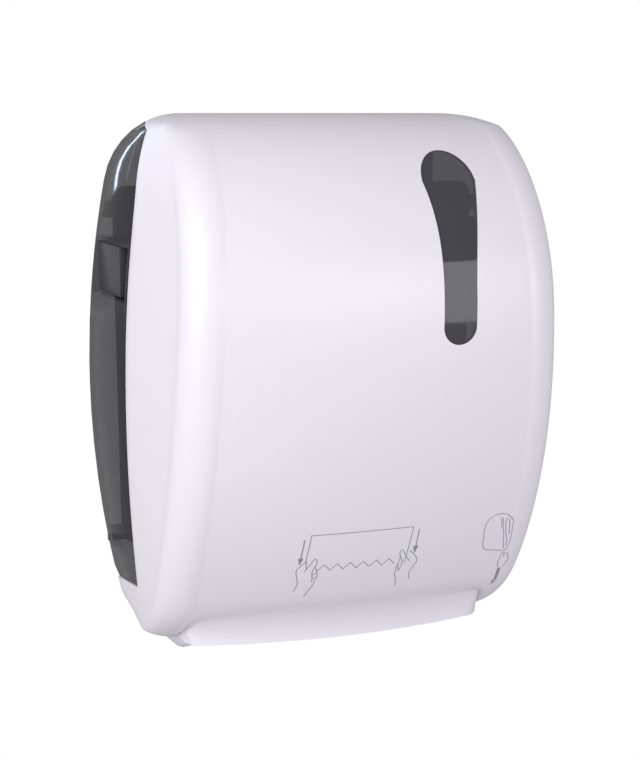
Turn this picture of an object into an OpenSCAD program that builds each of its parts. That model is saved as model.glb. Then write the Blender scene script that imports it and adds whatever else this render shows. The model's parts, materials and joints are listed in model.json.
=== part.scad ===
// Wall mounted roll towel dispenser with a barrel shaped cover.
// Millimetres. +Z up, the front faces -Y, the wall is the plane y = 0.
// Origin: centre of the four wall screw holes, on the wall plane.

/* [Body] */
// Height of the top of the cover above the wall screw centre
top_z = 169.5; // [150:0.5:200]
// Height of the bottom edge of the cover's side lobes
bottom_z = -211; // [-220:0.5:-205]
// Height of the lower edge of the spout lip
lip_z = -197; // [-215:0.5:-185]
// Greatest half width of the body, at the wall
wall_half = 160; // [140:1:180]
// Height at which the body is widest
belly_z = -23; // [-60:1:20]
// Radius of the long arc along each side of the body
side_arc_r = 722; // [500:1:1200]
// Radius of the top corners seen from the front
top_corner_r = 57; // [40:1:80]
// Radius of the bottom corners seen from the front
low_corner_r = 36; // [20:1:45]
// Half width of the front face at the bottom
front_half_low = 134.8; // [120:0.1:150]
// Half width of the front face at the top
front_half_top = 118.5; // [100:0.1:140]
// Radius of the upright front corners
front_corner_r = 25; // [10:0.5:40]
// Greatest depth of the body from the wall
depth = 207; // [180:1:240]
// How far the front face bows forward between its corners
bow = 14; // [0:0.5:20]
// Radius of the rounded top front edge
crown_r = 123.5; // [80:0.5:160]
// Radius of the large arc of the front face below the crown
belly_r = 343; // [200:1:600]
// How far the side lobes roll back at their lower edge
under_in = 45; // [30:1:55]
// Height over which the side lobes roll back
under_h = 55; // [45:1:65]
// Wall thickness of the cover
cover_t = 2.6; // [2:0.1:4]
// Distance of the cover's rear edge from the wall
rear_gap = 3; // [2:0.5:6]
// Depth of the side parting line at mid height
parting_d = 81; // [50:1:110]
// Gap between the cover and the side panels
seam_gap = 0.7; // [0.4:0.1:1.5]
// Depth of the cover's lobes behind the hinge
lobe_rear_d = 5; // [4:0.5:10]

/* [Spout] */
// Half width of the spout lip
spout_half = 111; // [102:1:118]
// Depth of the middle of the lip from the wall
spout_d = 116.5; // [105:0.5:130]
// Height at which the spout flows into the cover
crease_z = -160; // [-162:1:-150]
// Radius of the spout's corners
spout_corner_r = 10; // [6:1:20]

/* [Window] */
// Sideways position of the middle of the window's round head
window_x = 51.5; // [40:0.5:60]
// Height of the middle of the window's round head
window_z = 127; // [110:1:140]
// Radius of the window's round head
window_head_r = 19; // [12:0.5:25]
// Radius of the window's lower end
window_foot_r = 11.6; // [8:0.1:15]
// Height of the middle of the window's lower end
window_foot_z = 37.5; // [20:0.5:60]
// Sideways position of the window's lower end
window_foot_x = 48.6; // [40:0.1:60]

/* [Hinge and catches] */
// Distance of the cover hinge axis from the wall
hinge_d = 12; // [12:0.5:15]
// Height of the cover hinge axis
hinge_z = -202; // [-204:0.5:-201]
// Radius of the cover hinge pins
hinge_pin_r = 2.5; // [2:0.1:4]
// Running clearance of turning pins in their holes
run = 0.05; // [0.02:0.01:0.1]
// Height of the middle of the release buttons
button_z = 61.5; // [40:0.5:80]
// Height of each release button
button_h = 35; // [25:1:45]
// Depth reached by the front end of each release button
button_d = 52; // [40:1:60]
// Clear height of the pocket around the button
pocket_h = 37; // [30:1:50]
// Distance of the pocket floor from the middle plane
pocket_x = 130; // [125:1:140]

/* [Back plate] */
// Thickness of the back plate
plate_t = 3; // [2:0.5:5]
// Half width of the tall part of the back plate
plate_half = 108; // [95:1:112]
// Half width of the plate's side wings
wing_half = 139; // [130:1:142]
// Sideways spacing of the wall screw holes
wall_screw_dx = 160; // [120:1:180]
// Upright spacing of the wall screw holes
wall_screw_dz = 220; // [160:1:260]
// Radius of the wall screw holes
wall_screw_r = 2.75; // [2:0.05:4]

/* [Drum] */
// Radius of the paper drum
drum_r = 40; // [34:0.5:42]
// Half length of the drum's shell
drum_half = 98.5; // [90:0.5:100]
// Distance of the drum axis from the wall
drum_d = 52; // [50:1:60]
// Height of the drum axis
drum_z = -112; // [-120:1:-100]
// Radius of the drum shaft
shaft_r = 5; // [4:0.5:7]
// Wall thickness of the drum shell
shell_t = 2.5; // [2:0.1:4]
// Radius of the pressure roller
roller_r = 9; // [6:0.5:12]
// Paper gap between the drum and the roller
nip = 0.5; // [0.3:0.1:1]
// Angle of the roller below level, seen from the side
nip_angle = 10; // [0:1:25]
// Inner face of the side frames from the middle plane
frame_x = 112; // [108:1:116]
// Thickness of the side frames
frame_t = 3; // [2:0.5:5]
// Radius of the hand wheel
wheel_r = 44; // [38:1:46]

/* [Roll holder] */
// Distance of the roll axis from the wall
roll_d = 96; // [90:1:105]
// Height of the roll axis
roll_z = 45; // [30:1:60]
// Radius of the hubs that enter the roll's core
hub_r = 18.5; // [15:0.5:20]

/* [Hidden] */
$fn = 48;

// Small helpers

// Cylinder along X from x0 to x1 at depth d and height z
module rod_x(r, x0, x1, d, z) {
    translate([x0, -d, z]) rotate([0, 90, 0]) cylinder(r = r, h = x1 - x0);
}

// Cylinder along Y, from depth d0 to depth d1
module rod_y(r, x, d0, d1, z) {
    translate([x, -d0, z]) rotate([90, 0, 0]) cylinder(r = r, h = d1 - d0);
}

// Cylinder along Z from z0 to z1
module rod_z(r, x, d, z0, z1) {
    translate([x, -d, z0]) cylinder(r = r, h = z1 - z0);
}

// Outline drawn sideways and upright, carried forward from the wall to depth d1
module front_outline(d1) {
    rotate([90, 0, 0]) linear_extrude(height = d1 + 1) children();
}

// Box given by its limits sideways, in depth and in height
module slab(x0, x1, d0, d1, z0, z1) {
    translate([x0, -d1, z0]) cube([x1 - x0, d1 - d0, z1 - z0]);
}

// Drawing of depth across and height up, as a plate from x0 to x1
module side_plate(x0, x1) {
    translate([x0, 0, 0]) rotate([90, 0, 90]) linear_extrude(height = x1 - x0)
        mirror([1, 0, 0]) children();
}

// The same on the other side of the middle plane when s is -1
module on_side(s) {
    if (s < 0) mirror([1, 0, 0]) children();
    else children();
}

// Shape of the body, as functions of height, with an inset t for inner skins
function wall_w(z, t) =
    let (R = side_arc_r - t, rt = top_corner_r - t, rb = low_corner_r - t,
         w = wall_half - t, zt = top_z - t - rt, zb = bottom_z + t + rb,
         c = w - R,
         ct = c + sqrt(pow(R - rt, 2) - pow(zt - belly_z, 2)),
         cb = c + sqrt(pow(R - rb, 2) - pow(belly_z - zb, 2)),
         tt = belly_z + (zt - belly_z) * R / (R - rt),
         tb = belly_z - (belly_z - zb) * R / (R - rb))
    z > tt ? ct + sqrt(max(rt * rt - pow(z - zt, 2), 0)) :
    z < tb ? cb + sqrt(max(rb * rb - pow(z - zb, 2), 0)) :
    c + sqrt(R * R - pow(z - belly_z, 2));
crown_z = top_z - crown_r;
under_z = bottom_z + under_h;
// Depth of the front on the middle plane, without the rolled under edge
function front_d(z, t) =
    z > crown_z ? depth - crown_r + sqrt(max(pow(crown_r - t, 2) - pow(z - crown_z, 2), 0)) :
    depth - belly_r + sqrt(pow(belly_r - t, 2) - pow(z - crown_z, 2));
// Inset of the rolled under edge
function under(z, t) =
    z < under_z ? (under_in - t) * (1 - sqrt(max(1 - pow((under_z - z) / (under_h - t), 2), 0))) : 0;
function front_w(z, t) =
    min(front_half_low + (front_half_top - front_half_low)
        * pow(max(z - lip_z, 0) / (top_z - lip_z), 1.5) - t, wall_w(z, t));
// How steeply the spout's flanks run back into the cover
flank_slope = 5.5;
// How much wider the spout is at the crease than at the lip, on each side
flank_widening = 2;
// Spout surface: depth at sideways place x and height z
function spout_mid(z) = spout_d + (front_d(crease_z, 0) - under(crease_z, 0) - spout_d)
    * pow(max(z - lip_z, 0) / (crease_z - lip_z), 2);
function spout_surf(x, z, t) =
    let (w = spout_half - t + flank_widening * (z - lip_z) / (crease_z - lip_z), r = spout_corner_r - t,
         a = abs(x), e = spout_mid(z) - t - bow * pow(min(a, w) / spout_half, 2))
    a < w - r ? e : a < w ? e - r + sqrt(r * r - pow(a - w + r, 2)) : e - r - (a - w) * flank_slope;

// Points of one section of the cover, from the left rear edge round to the right
corner_n = 6;
// Fractions across half of the front, closer together near the spout's corners
front_f = [0, 0.3, 0.6, 0.82, 0.88, 0.92, 0.945, 0.965, 0.985, 1];
function lobe_z(z, t) = t == 0 ? z :
    z > crown_z ? crown_z + (z - crown_z) * (crown_r - t) / crown_r :
    z < under_z ? under_z - (under_z - z) * (under_h - t) / under_h : z;
function spout_row(z) = lip_z + (z - bottom_z) * (crease_z - lip_z) / (crease_z - bottom_z);
// A point on the front or corner, moved forward onto the spout where that is in front
function pick(x, d, z, zs, t) =
    z >= crease_z ? [x, -d, lobe_z(z, t)] :
    spout_surf(x, zs, t) > d ? [x, -spout_surf(x, zs, t), zs] : [x, -d, lobe_z(z, t)];
// The lobes' upper edge rises from the rear to the parting line
lobe_top_z = bottom_z + 36.5;
lobe_rise = 11.3;
shoulder_z = top_z - 11;
tip_z = top_z - 5;
// Height of the rear rim, level on both skins wherever a side panel meets it
function rim_z(z, t) =
    z < lobe_top_z - 1 ? lobe_z(z, t) : z < tip_z ? z :
    tip_z + (z - tip_z) * (top_z - t - tip_z) / (top_z - tip_z);
function edge_d(z) =
    z < lobe_top_z ? lobe_rear_d :
    z < lobe_top_z + lobe_rise ? lobe_rear_d
        + (parting(lobe_top_z + lobe_rise) - lobe_rear_d) * (z - lobe_top_z) / lobe_rise :
    z < shoulder_z ? parting(z) :
    rear_gap + (parting(shoulder_z) - rear_gap) * max(tip_z - z, 0) / (tip_z - shoulder_z);
arch_z = 5;
arch_h = tip_z - arch_z + 0.5;
tail_in = 14;
// Depth of the parting line between side panel and cover
function parting(z) =
    z > arch_z ? parting_d * pow(max(1 - pow((z - arch_z) / arch_h, 4), 0), 0.25) :
    parting_d - tail_in * pow((arch_z - z) / (arch_z - crease_z + 1), 2);
function half_section(z, t) =
    let (zl = lobe_z(z, t), w = front_w(zl, t), r = min(front_corner_r - t, w / 2),
         D = front_d(zl, t) - under(zl, t), zs = spout_row(z), xc = w - r,
         dc = D - bow * pow(xc / w, 2) - r, rz = rim_z(z, t))
    concat([for (f = front_f) pick(f * xc, dc + r + bow * (pow(xc / w, 2) - pow(f * xc / w, 2)),
                                   z, zs, t)],
           [for (i = [1:corner_n]) let (a = 90 * i / corner_n)
                pick(xc + r * sin(a), dc + r * cos(a), z, zs, t)],
           [[side_x(edge_d(z), rz, t), -edge_d(z), rz]]);
function row(z, t) =
    let (h = half_section(z, t), n = len(h))
    concat([for (i = [n - 1:-1:1]) [-h[i][0], h[i][1], h[i][2]]], h);
crown_steps = 14;
crown_rows = [for (i = [0:crown_steps]) crown_z + crown_r * sin(90 * i / crown_steps)];
lobe_rows = [0, 1, 3, 6, 11, 17, 24, 30];
low_rows = concat([for (h = lobe_rows) bottom_z + h],
                  [lobe_top_z - 0.5, lobe_top_z + 3.5, lobe_top_z + 7.5, lobe_top_z + lobe_rise],
                  [crease_z + 4, -142, -122, -98, -70, -45, belly_z, -8, 22]);
all_rows = concat(low_rows, [for (z = crown_rows) if (z < shoulder_z - 1) z], [shoulder_z, tip_z],
                  [for (z = crown_rows) if (z > tip_z + 1) z]);

// Closed skin between an outer and an inner grid of points with the same layout
module skin(outer, inner) {
    m = len(outer);
    n = len(outer[0]);
    pts = concat([for (r = outer) for (p = r) p], [for (r = inner) for (p = r) p]);
    q = m * n;
    walls = concat(
        [for (i = [0:m - 2]) for (j = [0:n - 2]) [i * n + j, (i + 1) * n + j, i * n + j + 1]],
        [for (i = [0:m - 2]) for (j = [0:n - 2]) [i * n + j + 1, (i + 1) * n + j, (i + 1) * n + j + 1]],
        [for (i = [0:m - 2]) for (j = [0:n - 2]) [q + i * n + j, q + i * n + j + 1, q + (i + 1) * n + j]],
        [for (i = [0:m - 2]) for (j = [0:n - 2])
            [q + i * n + j + 1, q + (i + 1) * n + j + 1, q + (i + 1) * n + j]]);
    low = [for (j = [0:n - 2]) each [[j, j + 1, q + j], [j + 1, q + j + 1, q + j]]];
    k = (m - 1) * n;
    high = [for (j = [0:n - 2]) each [[k + j, q + k + j, k + j + 1], [k + j + 1, q + k + j, q + k + j + 1]]];
    lefts = [for (i = [0:m - 2]) each [[i * n, q + i * n, (i + 1) * n],
                                       [(i + 1) * n, q + i * n, q + (i + 1) * n]]];
    e = n - 1;
    rights = [for (i = [0:m - 2]) each [[i * n + e, (i + 1) * n + e, q + i * n + e],
                                        [(i + 1) * n + e, q + (i + 1) * n + e, q + i * n + e]]];
    polyhedron(points = pts, faces = concat(walls, low, high, lefts, rights));
}

// Closed skin whose last rows are shut by caps, for the cover's flat top
module capped_skin(outer, inner) {
    m = len(outer);
    n = len(outer[0]);
    pts = concat([for (r = outer) for (p = r) p], [for (r = inner) for (p = r) p]);
    q = m * n;
    e = n - 1;
    k = (m - 1) * n;
    walls = [for (i = [0:m - 2]) for (j = [0:n - 2]) each [
        [i * n + j, (i + 1) * n + j, i * n + j + 1],
        [i * n + j + 1, (i + 1) * n + j, (i + 1) * n + j + 1],
        [q + i * n + j, q + i * n + j + 1, q + (i + 1) * n + j],
        [q + i * n + j + 1, q + (i + 1) * n + j + 1, q + (i + 1) * n + j]]];
    low = [for (j = [0:n - 2]) each [[j, j + 1, q + j], [j + 1, q + j + 1, q + j]]];
    ends = [for (i = [0:m - 2]) each [
        [i * n, q + i * n, (i + 1) * n],
        [(i + 1) * n, q + i * n, q + (i + 1) * n],
        [i * n + e, (i + 1) * n + e, q + i * n + e],
        [(i + 1) * n + e, q + (i + 1) * n + e, q + i * n + e]]];
    // The caps fan out from their middle pair of points
    c = (n - 1) / 2;
    caps = [for (j = [0:c - 1]) each [
        [k + j, k + n - 1 - j, k + j + 1],
        [k + j + 1, k + n - 1 - j, k + n - 2 - j],
        [q + k + j, q + k + j + 1, q + k + n - 1 - j],
        [q + k + j + 1, q + k + n - 2 - j, q + k + n - 1 - j]]];
    rear = [[k, q + k, k + e], [k + e, q + k, q + k + e]];
    polyhedron(points = pts, faces = concat(walls, low, ends, caps, rear));
}

// Sideways place of the body's side at depth d and height z
function side_x(d, z, t) =
    let (w = front_w(z, t), ww = wall_w(z, t), r = min(front_corner_r - t, w / 2),
         dc = front_d(z, t) - bow * pow((w - r) / w, 2) - r)
    w + (ww - w) * (1 - min(d, dc) / dc);
// A point of the front face at sideways place x and height z
function front_point(x, z, t) =
    let (zl = lobe_z(z, t), w = front_w(zl, t))
    [x, -(front_d(zl, t) - bow * pow(x / w, 2)), zl];

// Window outline, grown by g
window_bend_z = 62;
function window_left(z) = (window_foot_x - window_foot_r) - (window_foot_x - window_foot_r
    - window_x + window_head_r) * pow(max(z - window_bend_z, 0) / (window_z - window_bend_z), 3);
function window_right(z) = (window_foot_x + window_foot_r) + (window_x + window_head_r
    - window_foot_x - window_foot_r)
    * pow(max(z - window_bend_z, 0) / (window_z - window_bend_z), 1.55);
module window_outline(g) {
    steps = 10;
    dz = (window_z - window_foot_z) / steps;
    polygon(concat(
        [for (a = [0:15:180]) [window_x + (window_head_r + g) * cos(a),
                               window_z + (window_head_r + g) * sin(a)]],
        [for (i = [1:steps - 1]) [window_left(window_z - i * dz) - g, window_z - i * dz]],
        [for (a = [180:15:360]) [window_foot_x + (window_foot_r + g) * cos(a),
                                 window_foot_z + (window_foot_r + g) * sin(a)]],
        [for (i = [1:steps - 1]) [window_right(window_foot_z + i * dz) + g, window_foot_z + i * dz]]));
}
module window_prism(g, d0, d1) {
    translate([0, -d0, 0]) rotate([90, 0, 0]) linear_extrude(height = d1 - d0) window_outline(g);
}

// Places worked out from the sizes above
nip_reach = drum_r + roller_r + nip;
roller_d = drum_d + nip_reach * cos(nip_angle);
roller_z = drum_z - nip_reach * sin(nip_angle);
yoke_lean = 17;
yoke_rise = 22;
yoke_d = roller_d + yoke_lean;
yoke_z = roller_z + yoke_rise;
yoke_rod_r = 4;
roller_shaft_r = 3;
frame_out = frame_x + frame_t;
frame_low = drum_z - 1.4 * drum_r;
frame_high = drum_z + 1.95 * drum_r;
tie_d = 24;
tie_z = drum_z + 1.55 * drum_r;
tie_r = 5;
bush_r = 8;
screw_r = 1.9;
head_r = 3.5;
head_t = 2.4;
foot_w = 14;
foot_t = 3;
seat_t = 3;
seat_h = 6;
frame_screw_x = frame_x - foot_w / 2;
frame_screw_zs = [frame_low + 8, frame_high - 8];
panel_screw_x = wing_half - 8;
panel_screw_zs = [drum_z - 28, roll_z + 57];
tab_h = 12;
tab_t = 3;
tab_reach = 7;
arm_x = 112;
arm_d = plate_t + 8;
arm_pin_r = 2.5;
arm_half_h = 11;
ear_t = 3;
ear_r = 6;
slot_turn = 20;
// A place in the drum, u forward and v along the slot's direction
function at_drum(u, v) = [drum_d + u * cos(slot_turn) - v * sin(slot_turn),
                          drum_z + u * sin(slot_turn) + v * cos(slot_turn)];
knife_u = -24;
knife_v = 20;
knife_r = 3;
knife_at = at_drum(knife_u, knife_v);
lever_len = 16;
lever_turn = -75;
follower_r = 4;
follower_pin_r = 2;
follower_at = at_drum(knife_u + lever_len * cos(lever_turn), knife_v + lever_len * sin(lever_turn));
cap_t = 3;
grip_t = 0.6;
shell_r = drum_r - grip_t;
crank_throw = 12;
crank_x = frame_out + 1;
crank_t = 4;
spring_x = frame_out + 9;
post_z = drum_z + 72;
post_r = 2.5;
ratchet_r = 16;
ratchet_t = 4;
teeth = 16;
tooth_h = 2.8;
tooth_turn = 0.5;
pawl_reach = 27;
pawl_turn = 130;
pawl_at = [drum_d + pawl_reach * cos(pawl_turn), drum_z + pawl_reach * sin(pawl_turn)];
pawl_tip_r = 1.5;
pawl_tip_reach = ratchet_r + pawl_tip_r + 0.5;
pawl_tip_turn = 95;
pawl_tip = [drum_d + pawl_tip_reach * cos(pawl_tip_turn), drum_z + pawl_tip_reach * sin(pawl_tip_turn)];
pawl_pin_r = 2;
wheel_x = frame_out + 7;
wheel_t = 8;
wheel_rim = 7;
wheel_web = 3;
button_z0 = button_z - button_h / 2;
button_z1 = button_z + button_h / 2;
pocket_z0 = button_z - pocket_h / 2;
pocket_z1 = button_z + pocket_h / 2;
tray_t = 2;
pocket_d = parting_d - 6;
button_back = pocket_x + 6;
stem_r = 4;
stem_d = 28;
catch_z0 = pocket_z1 + tray_t + 3;
catch_h = 8;
catch_gap = 0.4;
catch_t = 2.6;
catch_d0 = pocket_d - 12;
catch_d1 = parting_d + 16;
// Outer face of the catch, inside the cover's wall, and its inner face
catch_out = side_x(catch_d1, catch_z0 + catch_h, cover_t / 2);
catch_in = catch_out - catch_t;
nose_t = 4;
nose_w = 5;
latch_t = 3;
// The latch plate lies inside the tray's floor and leaves its nose short of the catch
latch_x = min(pocket_x - tray_t - 1.5, catch_in - catch_gap - nose_t) - latch_t;
guide_half = frame_x - 6;
lug_x = 103;
bracket_x = 96;
bracket_t = 6;
bracket_h = 14;
pin_wall = 2.5;

// Straight link between two round ends, drawn in depth and height
module link(p, q, r1, r2, w) {
    v = q - p;
    translate(p) circle(r = r1);
    translate(q) circle(r = r2);
    translate(p) rotate(atan2(v[1], v[0])) translate([0, -w / 2]) square([norm(v), w]);
}
// Ring sector round the drum axis, from angle a0 to a1
module sector(r0, r1, a0, a1) {
    translate([drum_d, drum_z]) intersection() {
        difference() {
            circle(r = r1, $fn = 96);
            circle(r = r0, $fn = 96);
        }
        polygon(concat([[0, 0]], [for (i = [0:6]) 2 * r1
            * [cos(a0 + (a1 - a0) * i / 6), sin(a0 + (a1 - a0) * i / 6)]]));
    }
}
// Upright rounded rectangle, half width w, from z0 to z1
module round_rect(w, z0, z1, r) {
    translate([-w + r, z0]) square([2 * (w - r), z1 - z0]);
    translate([-w, z0 + r]) square([2 * w, z1 - z0 - 2 * r]);
    for (x = [-w + r, w - r]) for (z = [z0 + r, z1 - r]) translate([x, z]) circle(r = r);
}

// Fixed pieces
module bracket(s) {
    on_side(s) {
        rod_x(hinge_pin_r + pin_wall, bracket_x, bracket_x + bracket_t, hinge_d, hinge_z);
        slab(bracket_x, bracket_x + bracket_t, plate_t - 1, hinge_d, hinge_z - 1, hinge_z + bracket_h);
        slab(bracket_x, bracket_x + bracket_t, 0, plate_t, hinge_z + 1, hinge_z + bracket_h);
        for (z = [roll_z - arm_half_h - 2 - ear_t, roll_z + arm_half_h + 2]) {
            rod_z(ear_r, arm_x, arm_d, z, z + ear_t);
            slab(arm_x - ear_r, arm_x + ear_r, plate_t - 1, arm_d, z, z + ear_t);
        }
    }
}
module back_plate() {
    color("gainsboro") difference() {
        union() {
            rotate([90, 0, 0]) linear_extrude(height = plate_t) {
                round_rect(plate_half, hinge_z + 6, top_z - 11, 10);
                round_rect(wing_half, drum_z - 38, roll_z + 73, 10);
            }
            slab(-plate_half + 10, plate_half - 10, plate_t - 1, plate_t + 7, top_z - 14, top_z - 11);
            for (x = [-50, 50]) slab(x - 1.5, x + 1.5, plate_t - 1, plate_t + 2, frame_low, top_z - 13);
            for (s = [-1, 1]) bracket(s);
        }
        for (x = [-1, 1]) for (z = [-1, 1])
            rod_y(wall_screw_r, x * wall_screw_dx / 2, -1, plate_t + 1, z * wall_screw_dz / 2);
        for (s = [-1, 1]) on_side(s) {
            rod_x(hinge_pin_r, bracket_x - 1, bracket_x + bracket_t + 1, hinge_d, hinge_z);
            rod_z(arm_pin_r, arm_x, arm_d, roll_z - arm_half_h - 6, roll_z + arm_half_h + 6);
            for (z = frame_screw_zs) rod_y(screw_r, frame_screw_x, 0.8, plate_t + 1, z);
            for (z = panel_screw_zs) rod_y(screw_r, panel_screw_x, 0.8, plate_t + 1, z);
        }
    }
}
module panel_tab(z) {
    difference() {
        translate([0, 0, z - tab_h / 2]) linear_extrude(height = tab_h) polygon([
            [panel_screw_x - tab_reach, -plate_t], [side_x(plate_t, z + tab_h / 2, 1), -plate_t],
            [side_x(plate_t + tab_t, z + tab_h / 2, 1), -plate_t - tab_t],
            [panel_screw_x - tab_reach, -plate_t - tab_t]]);
        rod_y(screw_r, panel_screw_x, plate_t - 1, plate_t + tab_t + 1, z);
    }
}
// Level wall of the pocket at height z
module pocket_shelf(z) {
    translate([0, 0, z]) linear_extrude(height = tray_t) polygon([
        [pocket_x - tray_t, -rear_gap], [side_x(rear_gap, z + tray_t, 1), -rear_gap],
        [side_x(pocket_d + tray_t, z + tray_t, 1), -pocket_d - tray_t],
        [pocket_x - tray_t, -pocket_d - tray_t]]);
}
// Upright wall of the pocket across the depth, d to d + tray_t
module pocket_end(d, t) {
    translate([0, -d, 0]) rotate([90, 0, 0]) linear_extrude(height = t) polygon([
        [pocket_x - tray_t, pocket_z0 - tray_t],
        [side_x(d + t, pocket_z0 - tray_t, 1), pocket_z0 - tray_t],
        [side_x(d + t, button_z, 1), button_z],
        [side_x(d + t, pocket_z1 + tray_t, 1), pocket_z1 + tray_t],
        [pocket_x - tray_t, pocket_z1 + tray_t]]);
}
panel_t = 2.4;
panel_low_z = lobe_top_z + 2 * seam_gap;
panel_bevel_d = 12;
// Rows of the panel: height and depth at its rear edge, height and depth at its front edge
panel_rows = concat(
    [[panel_low_z + 1, panel_bevel_d, panel_low_z + lobe_rise, parting(panel_low_z + lobe_rise) - seam_gap],
     [panel_low_z + 7, rear_gap, panel_low_z + lobe_rise + 1.5,
      parting(panel_low_z + lobe_rise + 1.5) - seam_gap]],
    [for (z = all_rows) if (z > crease_z + 3 && z < shoulder_z) [z, rear_gap, z, parting(z) - seam_gap]],
    [[shoulder_z - seam_gap, rear_gap, shoulder_z - seam_gap, parting(shoulder_z) - 2 * seam_gap],
     [tip_z - 1.2 * seam_gap, rear_gap, shoulder_z - 0.2, parting(shoulder_z) - 5]]);
function panel_row(p, t) = [[side_x(p[3], p[2], t), -p[3], p[2]], [side_x(p[1], p[0], t), -p[1], p[0]]];
module side_panel(s) {
    on_side(s) {
        difference() {
            skin([for (p = panel_rows) panel_row(p, 0)], [for (p = panel_rows) panel_row(p, panel_t)]);
            slab(pocket_x, wall_half + 5, rear_gap + tray_t, pocket_d, pocket_z0, pocket_z1);
        }
        difference() {
            slab(pocket_x - tray_t, pocket_x, rear_gap, pocket_d + tray_t,
                 pocket_z0 - tray_t, pocket_z1 + tray_t);
            rod_x(stem_r + 0.4, pocket_x - 3, pocket_x + 1, stem_d, button_z);
        }
        pocket_shelf(pocket_z0 - tray_t);
        pocket_shelf(pocket_z1);
        pocket_end(rear_gap, tray_t);
        pocket_end(pocket_d, tray_t);
        for (z = panel_screw_zs) panel_tab(z);
    }
}
module side_panel_left() {
    color("dimgray") side_panel(-1);
}
module side_panel_right() {
    color("dimgray") side_panel(1);
}
// Pan head screw along Y, its head's seat at depth d
module screw(x, z, d) {
    rod_y(head_r, x, d, d + head_t, z);
    rod_y(screw_r, x, 1, d + 0.5, z);
}
module panel_screws() {
    color("silver") for (s = [-1, 1]) on_side(s)
        for (z = panel_screw_zs) screw(panel_screw_x, z, plate_t + tab_t);
}
module frame_screws() {
    color("silver") for (s = [-1, 1]) on_side(s)
        for (z = frame_screw_zs) screw(frame_screw_x, z, plate_t + foot_t);
}
module side_frame(s) {
    difference() {
        union() {
            side_plate(frame_x, frame_out) polygon([
                [plate_t, frame_low], [drum_d + 30, frame_low], [yoke_d + 10, yoke_z - 22],
                [yoke_d + 10, yoke_z + 12], [drum_d + 30, frame_high - 26],
                [drum_d + 12, frame_high], [plate_t, frame_high]]);
            slab(frame_x - foot_w, frame_x, plate_t, plate_t + foot_t, frame_low, frame_high);
            slab(frame_x - 6, frame_x, yoke_seat0 - seat_t, yoke_seat0,
                 yoke_seat_z - seat_h, yoke_seat_z + seat_h);
        }
        rod_x(bush_r, frame_x - 1, frame_out + 1, drum_d, drum_z);
        rod_x(yoke_rod_r + run, frame_x - 1, frame_out + 1, yoke_d, yoke_z);
        for (z = frame_screw_zs) rod_y(screw_r, frame_screw_x, plate_t - 1, plate_t + foot_t + 1, z);
        if (s < 0) rod_x(post_r, frame_x - 1, frame_out + 1, drum_d, post_z);
        if (s > 0) rod_x(pawl_pin_r, frame_x - 1, frame_out + 1, pawl_at[0], pawl_at[1]);
    }
}
module side_frame_left() {
    color("slategray") on_side(-1) side_frame(-1);
}
module side_frame_right() {
    color("slategray") side_frame(1);
}
module tie_bar() {
    color("silver") rod_x(tie_r, -frame_x, frame_x, tie_d, tie_z);
}
module rear_guide() {
    r = drum_r + 3;
    color("slategray") {
        side_plate(-frame_x, frame_x) sector(drum_r + 2.5, drum_r + 4.5, -140, -69);
        side_plate(-guide_half, guide_half)
            polygon([[drum_d + r * cos(-70), drum_z + r * sin(-70)],
                     [drum_d + (r + 2) * cos(-68), drum_z + (r + 2) * sin(-68)],
                     [drum_d + 29, lip_z + 7], [drum_d + 27, lip_z + 7]]);
    }
}
module front_guide() {
    color("slategray") {
        side_plate(-frame_x, frame_x) polygon([
            [roller_d + 13, roller_z + 2], [roller_d + 15, roller_z + 2],
            [roller_d + 7, roller_z - 30], [roller_d + 5, roller_z - 30]]);
        side_plate(-frame_x + 18, frame_x - 18) polygon([
            [roller_d + 5, roller_z - 30], [roller_d + 7, roller_z - 30],
            [roller_d - 1, lip_z + 9], [roller_d - 3, lip_z + 9]]);
    }
}
module bush(s) {
    on_side(s) difference() {
        union() {
            rod_x(bush_r, frame_x - 1, frame_out, drum_d, drum_z);
            rod_x(bush_r + 2, frame_x - 1.5, frame_x, drum_d, drum_z);
        }
        rod_x(shaft_r + run, frame_x - 3, frame_out + 1, drum_d, drum_z);
    }
}
module drum_bush_left() {
    color("ivory") bush(-1);
}
module drum_bush_right() {
    color("ivory") bush(1);
}
module cam_ring() {
    track_r = 26.5;
    rim = 6.5;
    width = 5.5;
    shift = 1;
    color("ivory") difference() {
        rod_x(track_r + rim, -frame_x, -frame_x + width, drum_d, drum_z);
        rod_x(track_r, -frame_x - 1, -frame_x + width + 0.5, drum_d + shift, drum_z);
    }
}
module spring_post() {
    color("silver") {
        rod_x(post_r, -spring_x - 4, -frame_x, drum_d, post_z);
        rod_x(post_r + 1.5, -spring_x - 5, -spring_x - 3.5, drum_d, post_z);
    }
}
module hinge_pin(s) {
    on_side(s) rod_x(hinge_pin_r, bracket_x, lug_x + 7, hinge_d, hinge_z);
}
module hinge_pin_left() {
    color("silver") hinge_pin(-1);
}
module hinge_pin_right() {
    color("silver") hinge_pin(1);
}
module arm_pin(s) {
    on_side(s) rod_z(arm_pin_r, arm_x, arm_d, roll_z - arm_half_h - 2 - ear_t,
                     roll_z + arm_half_h + 2 + ear_t);
}
module arm_pin_left() {
    color("silver") arm_pin(-1);
}
module arm_pin_right() {
    color("silver") arm_pin(1);
}
module pawl_pin() {
    color("silver") rod_x(pawl_pin_r, frame_x, frame_out + 6, pawl_at[0], pawl_at[1]);
}

// Cover and what moves with it
module front_cover() {
    color("whitesmoke") difference() {
        capped_skin([for (z = all_rows) row(z, 0)], [for (z = all_rows) row(z, cover_t)]);
        window_prism(0, depth * 0.6, depth + 5);
    }
}
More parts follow.
